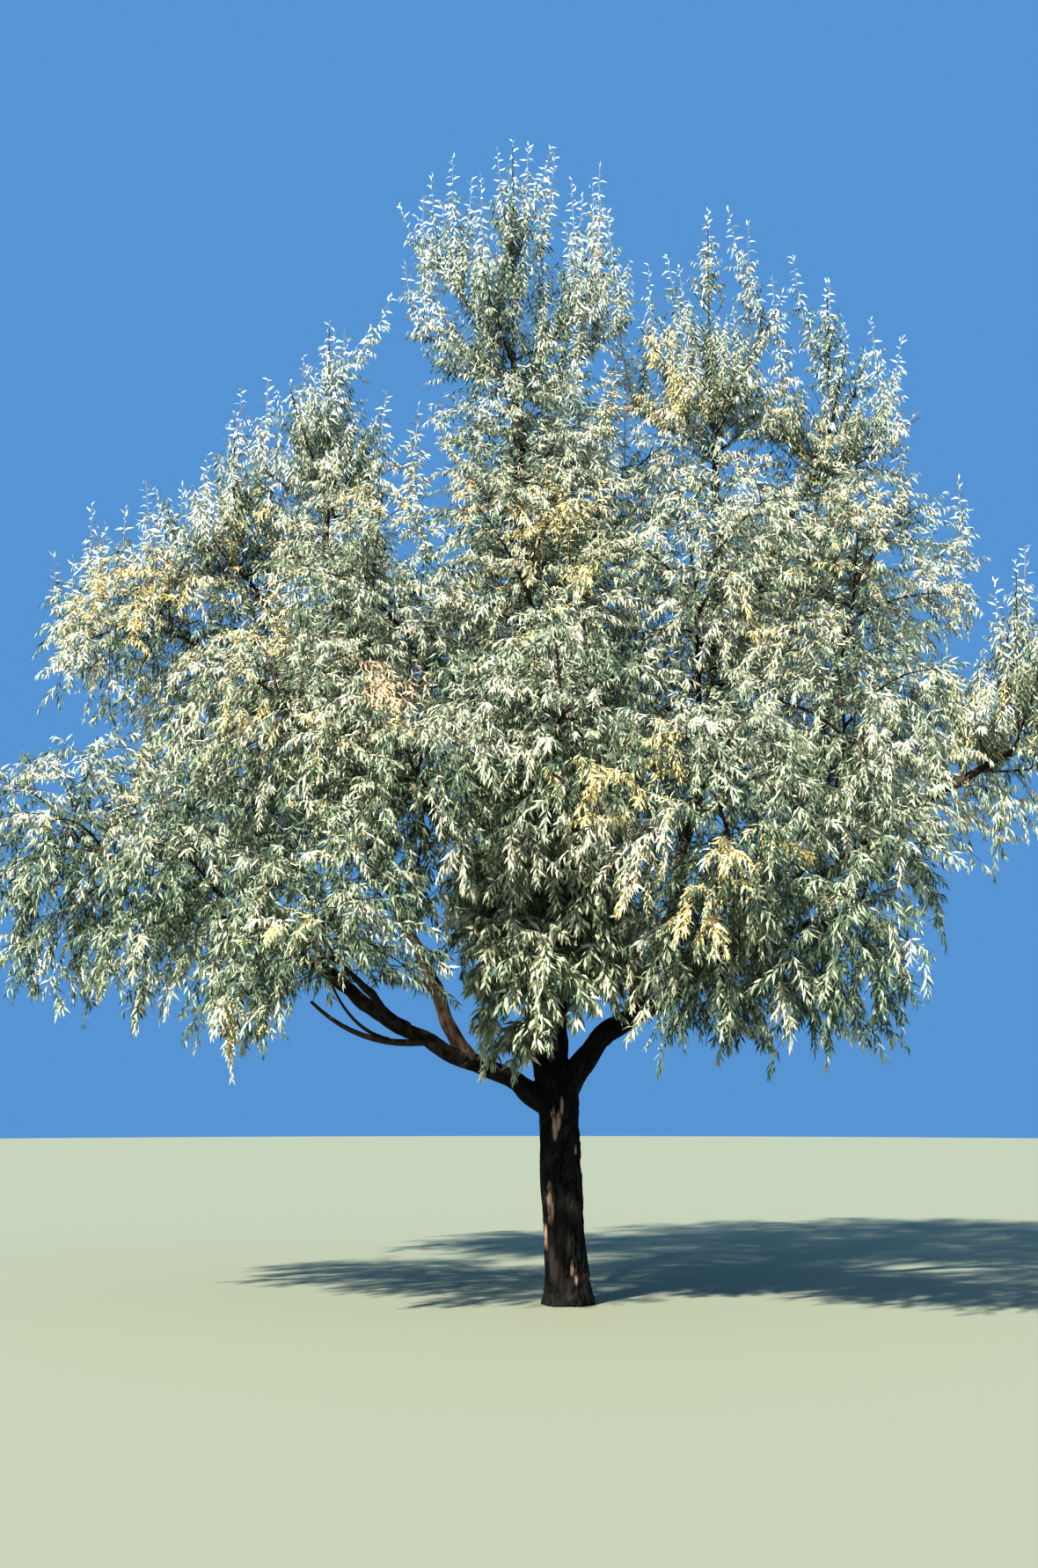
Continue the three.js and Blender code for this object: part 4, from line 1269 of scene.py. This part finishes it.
# Leaves stand all round each shoot, a golden turn apart, and close up towards its tip
leaf_steps = np.where(is_leader, LEADER_LEAF_SPACING, LEAF_SPACING)
counts = np.maximum((lengths / leaf_steps).astype(int), FEWEST_LEAVES)
which = np.repeat(np.arange(len(roots)), counts)
order = np.arange(len(which)) - np.repeat(np.cumsum(counts) - counts, counts)
share = np.clip((order + 0.7) / counts[which], 0, 1)
place = point_on(stems[:, which], share)
along = heading_on(stems[:, which], share)
on_leader = is_leader[which]
phase = chance.uniform(0, 2 * math.pi, len(roots))[which] + order * GOLDEN_ANGLE
side = unit(np.cross(along, np.where(np.abs(along[:, 2:]) > 0.9, RIGHT, UP)))
over = np.cross(side, along)
radial = np.cos(phase)[:, None] * side + np.sin(phase)[:, None] * over
open_angle = np.where(on_leader, 80 - 55 * share**4, 68 - 40 * share**2)
open_angle = np.radians(open_angle) + chance.normal(0, 0.2, len(which))

# Leaves arch out and droop a little on the leaders, and hang everywhere else. Most turn their
# faces towards the sunny side.
LIGHT_SIDE = -np.array(KEY_TRAVEL)
is_upright = (habit_of[owners] == "upright")[which]
fall = np.where(on_leader, 0.65 - 0.45 * share**4, np.where(is_upright, 1.3, 0.8))
axis = along * np.cos(open_angle)[:, None] + radial * np.sin(open_angle)[:, None] - UP * fall[:, None]
axis = unit(axis + chance.normal(0, 0.16, axis.shape))
facing = radial * 0.4 + LIGHT_SIDE * 0.75 + chance.normal(0, 0.8, axis.shape)
facing = unit(facing - (facing * axis).sum(-1, keepdims=True) * axis)
grown_size = np.interp(place[:, 2], SIZE_HEIGHTS, SIZES_THERE)
size = chance.uniform(*LEAF_LENGTHS, len(which)) * grown_size * (1 - 0.4 * share**4)
size = np.where(on_leader, size * LEADER_LEAF, size)
is_broad = (owners == BROAD_LEAVED)[which]
size = np.where(is_broad, size * BROAD_LEAF, size)
breadth = np.where(is_broad | on_leader, BROAD_BREADTH, NARROW_BREADTH)
breadth = breadth * size * chance.uniform(0.85, 1.15, len(which))
curl = size * chance.uniform(0.2, 1.9, len(which)) * np.where(on_leader, 1.9, 1)
is_green = (shoot_tone < DRY)[which]
differs = (chance.random(len(which)) < ODD_LEAF_CHANCE) & is_green & ~on_leader
leaf_tone = shoot_tone[which] + differs * chance.choice((-1, 1), len(which))
leaf_tone = np.where(is_green, np.clip(leaf_tone, np.where(is_upright, 0, 1), GREENEST), leaf_tone)
leaf_habit = np.array([list(SLOTS).index(habit) for habit in habit_of[owners]])[which]

# One form is set on every point, turned to the point's own axis and face, and sized by it
grow_tree, grow_input = new_tree("grow_on_points", Form="Object", Finish="Material")
form = node(grow_tree, "GeometryNodeObjectInfo", {"Object": grow_input["Form"]})
form_axes = {0: stored(grow_tree, "axis", "FLOAT_VECTOR"), 1: stored(grow_tree, "facing", "FLOAT_VECTOR")}
aim = node(grow_tree, "FunctionNodeAxesToRotation", form_axes, primary_axis="Y", secondary_axis="Z")
grow_inputs = {
    "Points": node(grow_tree, "GeometryNodeMeshToPoints", {"Mesh": grow_input["Geometry"]}),
    "Instance": form.outputs["Geometry"],
    "Rotation": aim,
    "Scale": stored(grow_tree, "size", "FLOAT_VECTOR"),
}
finish_tree(grow_tree, node(grow_tree, "GeometryNodeInstanceOnPoints", grow_inputs), grow_input["Finish"])


def grow(name, form_object, material, places, axes, faces_up, sizes):
    made = mesh_object(name, places)
    for field, values in {"axis": axes, "facing": faces_up, "size": sizes}.items():
        add_attribute(made.data, field, "FLOAT_VECTOR", values)
    add_modifier_values(made, grow_tree, {"Form": form_object, "Finish": material})
    settle(made)
    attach(made, "root")
    return made


def make_leaf_finish(name, colour):
    material = plain_material(name, colour, 0.75)
    shader = material.node_tree.nodes["Principled BSDF"]
    shader.inputs["Specular IOR Level"].default_value = 0.25
    shader.inputs["Sheen Weight"].default_value = 0.1
    shader.inputs["Sheen Roughness"].default_value = 0.5
    return material


leaf_form = mesh_object("leaf_form", *LEAF_FORM)
leaf_sizes = np.stack([breadth, size, curl], axis=1)
for habit_index, (habit, slot) in enumerate(SLOTS.items()):
    masses = [f"{name}_foliage" for name in names if CROWN[name]["habit"] == habit]
    for tone_index, (tone, colour) in enumerate(TONES.items()):
        own = np.flatnonzero((leaf_habit == habit_index) & (leaf_tone == tone_index))
        if not len(own):
            continue
        finish = bpy.data.materials.get(tone) or make_leaf_finish(tone, colour)
        for part, some in enumerate(np.array_split(own, math.ceil(len(own) / MOST_LEAVES_IN_PIECE))):
            name = f"{habit}_{tone}_{part + 1}"
            piece = grow(name, leaf_form, finish, place[some], axis[some], facing[some], leaf_sizes[some])
            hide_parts(*masses)
bpy.data.objects.remove(leaf_form)


# Fruit
# Small mealy olive-like fruits, yellow to tan and coated with scales. They hang close along the
# shoots in patches, most of them on the front of the crown.
FRUIT_LENGTH = 0.019
FRUIT_BREADTH = 0.7
FRUIT_OUT = 0.012
FRUITS_ON_SHOOT = (8, 15)
STRAY_FRUIT = 0.016
fruit_share = np.full(len(roots), STRAY_FRUIT)
for *patch, radius, plenty in FRUIT_PATCHES:
    nearness = np.clip(1.6 - apart_from(patch) / radius, 0, 1)
    fruit_share = np.maximum(fruit_share, plenty * nearness * np.clip(outerness * 2 - 0.5, 0.1, 1))
bearing = np.flatnonzero(chance.random(len(roots)) < fruit_share)

# The middle of a patch bears the most fruit to a shoot
fruit_counts = chance.integers(*FRUITS_ON_SHOOT, len(bearing))
fruit_counts = fruit_counts * (1 + 2.5 * np.clip(fruit_share[bearing] - 0.6, 0, 1))
fruit_which = np.repeat(bearing, fruit_counts.astype(int))
fruit_at = chance.uniform(0.05, 0.9, len(fruit_which))
fruit_along = heading_on(stems[:, fruit_which], fruit_at)
fruit_out = unit(np.cross(fruit_along, chance.normal(0, 1, fruit_along.shape)))
fruit_axis = unit(fruit_out * 0.6 - UP)
fruit_place = point_on(stems[:, fruit_which], fruit_at) + fruit_out * FRUIT_OUT
fruit_form_size = np.array([FRUIT_BREADTH, 1, FRUIT_BREADTH])
fruit_size = FRUIT_LENGTH * chance.uniform(0.8, 1.15, (len(fruit_which), 1)) * fruit_form_size

# One fruit, a unit long: a ring at its middle and a point at each end
FRUIT_SIDES = 3
FRUIT_WAIST = 0.55
fruit_turns = [turn * math.tau / FRUIT_SIDES for turn in range(FRUIT_SIDES)]
fruit_ring = [(math.cos(turn) * FRUIT_WAIST, 0.5, math.sin(turn) * FRUIT_WAIST) for turn in fruit_turns]
fruit_faces = []
for turn in range(FRUIT_SIDES):
    after = (turn + 1) % FRUIT_SIDES
    fruit_faces.append((turn, after, FRUIT_SIDES))
    fruit_faces.append((after, turn, FRUIT_SIDES + 1))
fruit_form = mesh_object("fruit_form", fruit_ring + [(0, 0, 0), (0, 1, 0)], fruit_faces)
FRUIT_TONES = {
    "yellow_fruit": (0.84, 0.66, 0.30),
    "tan_fruit": (0.72, 0.45, 0.22),
    "pale_fruit": (0.82, 0.72, 0.42),
}
FRUIT_TONE_SHARES = (0.5, 0.25, 0.25)
fruit_tone = chance.choice(len(FRUIT_TONES), len(roots), p=FRUIT_TONE_SHARES)[fruit_which]
for tone_index, (tone, colour) in enumerate(FRUIT_TONES.items()):
    own = np.flatnonzero(fruit_tone == tone_index)
    finish = plain_material(tone, colour, 0.55)
    piece = grow(tone, fruit_form, finish, fruit_place[own], fruit_axis[own], fruit_out[own], fruit_size[own])
bpy.data.objects.remove(fruit_form)
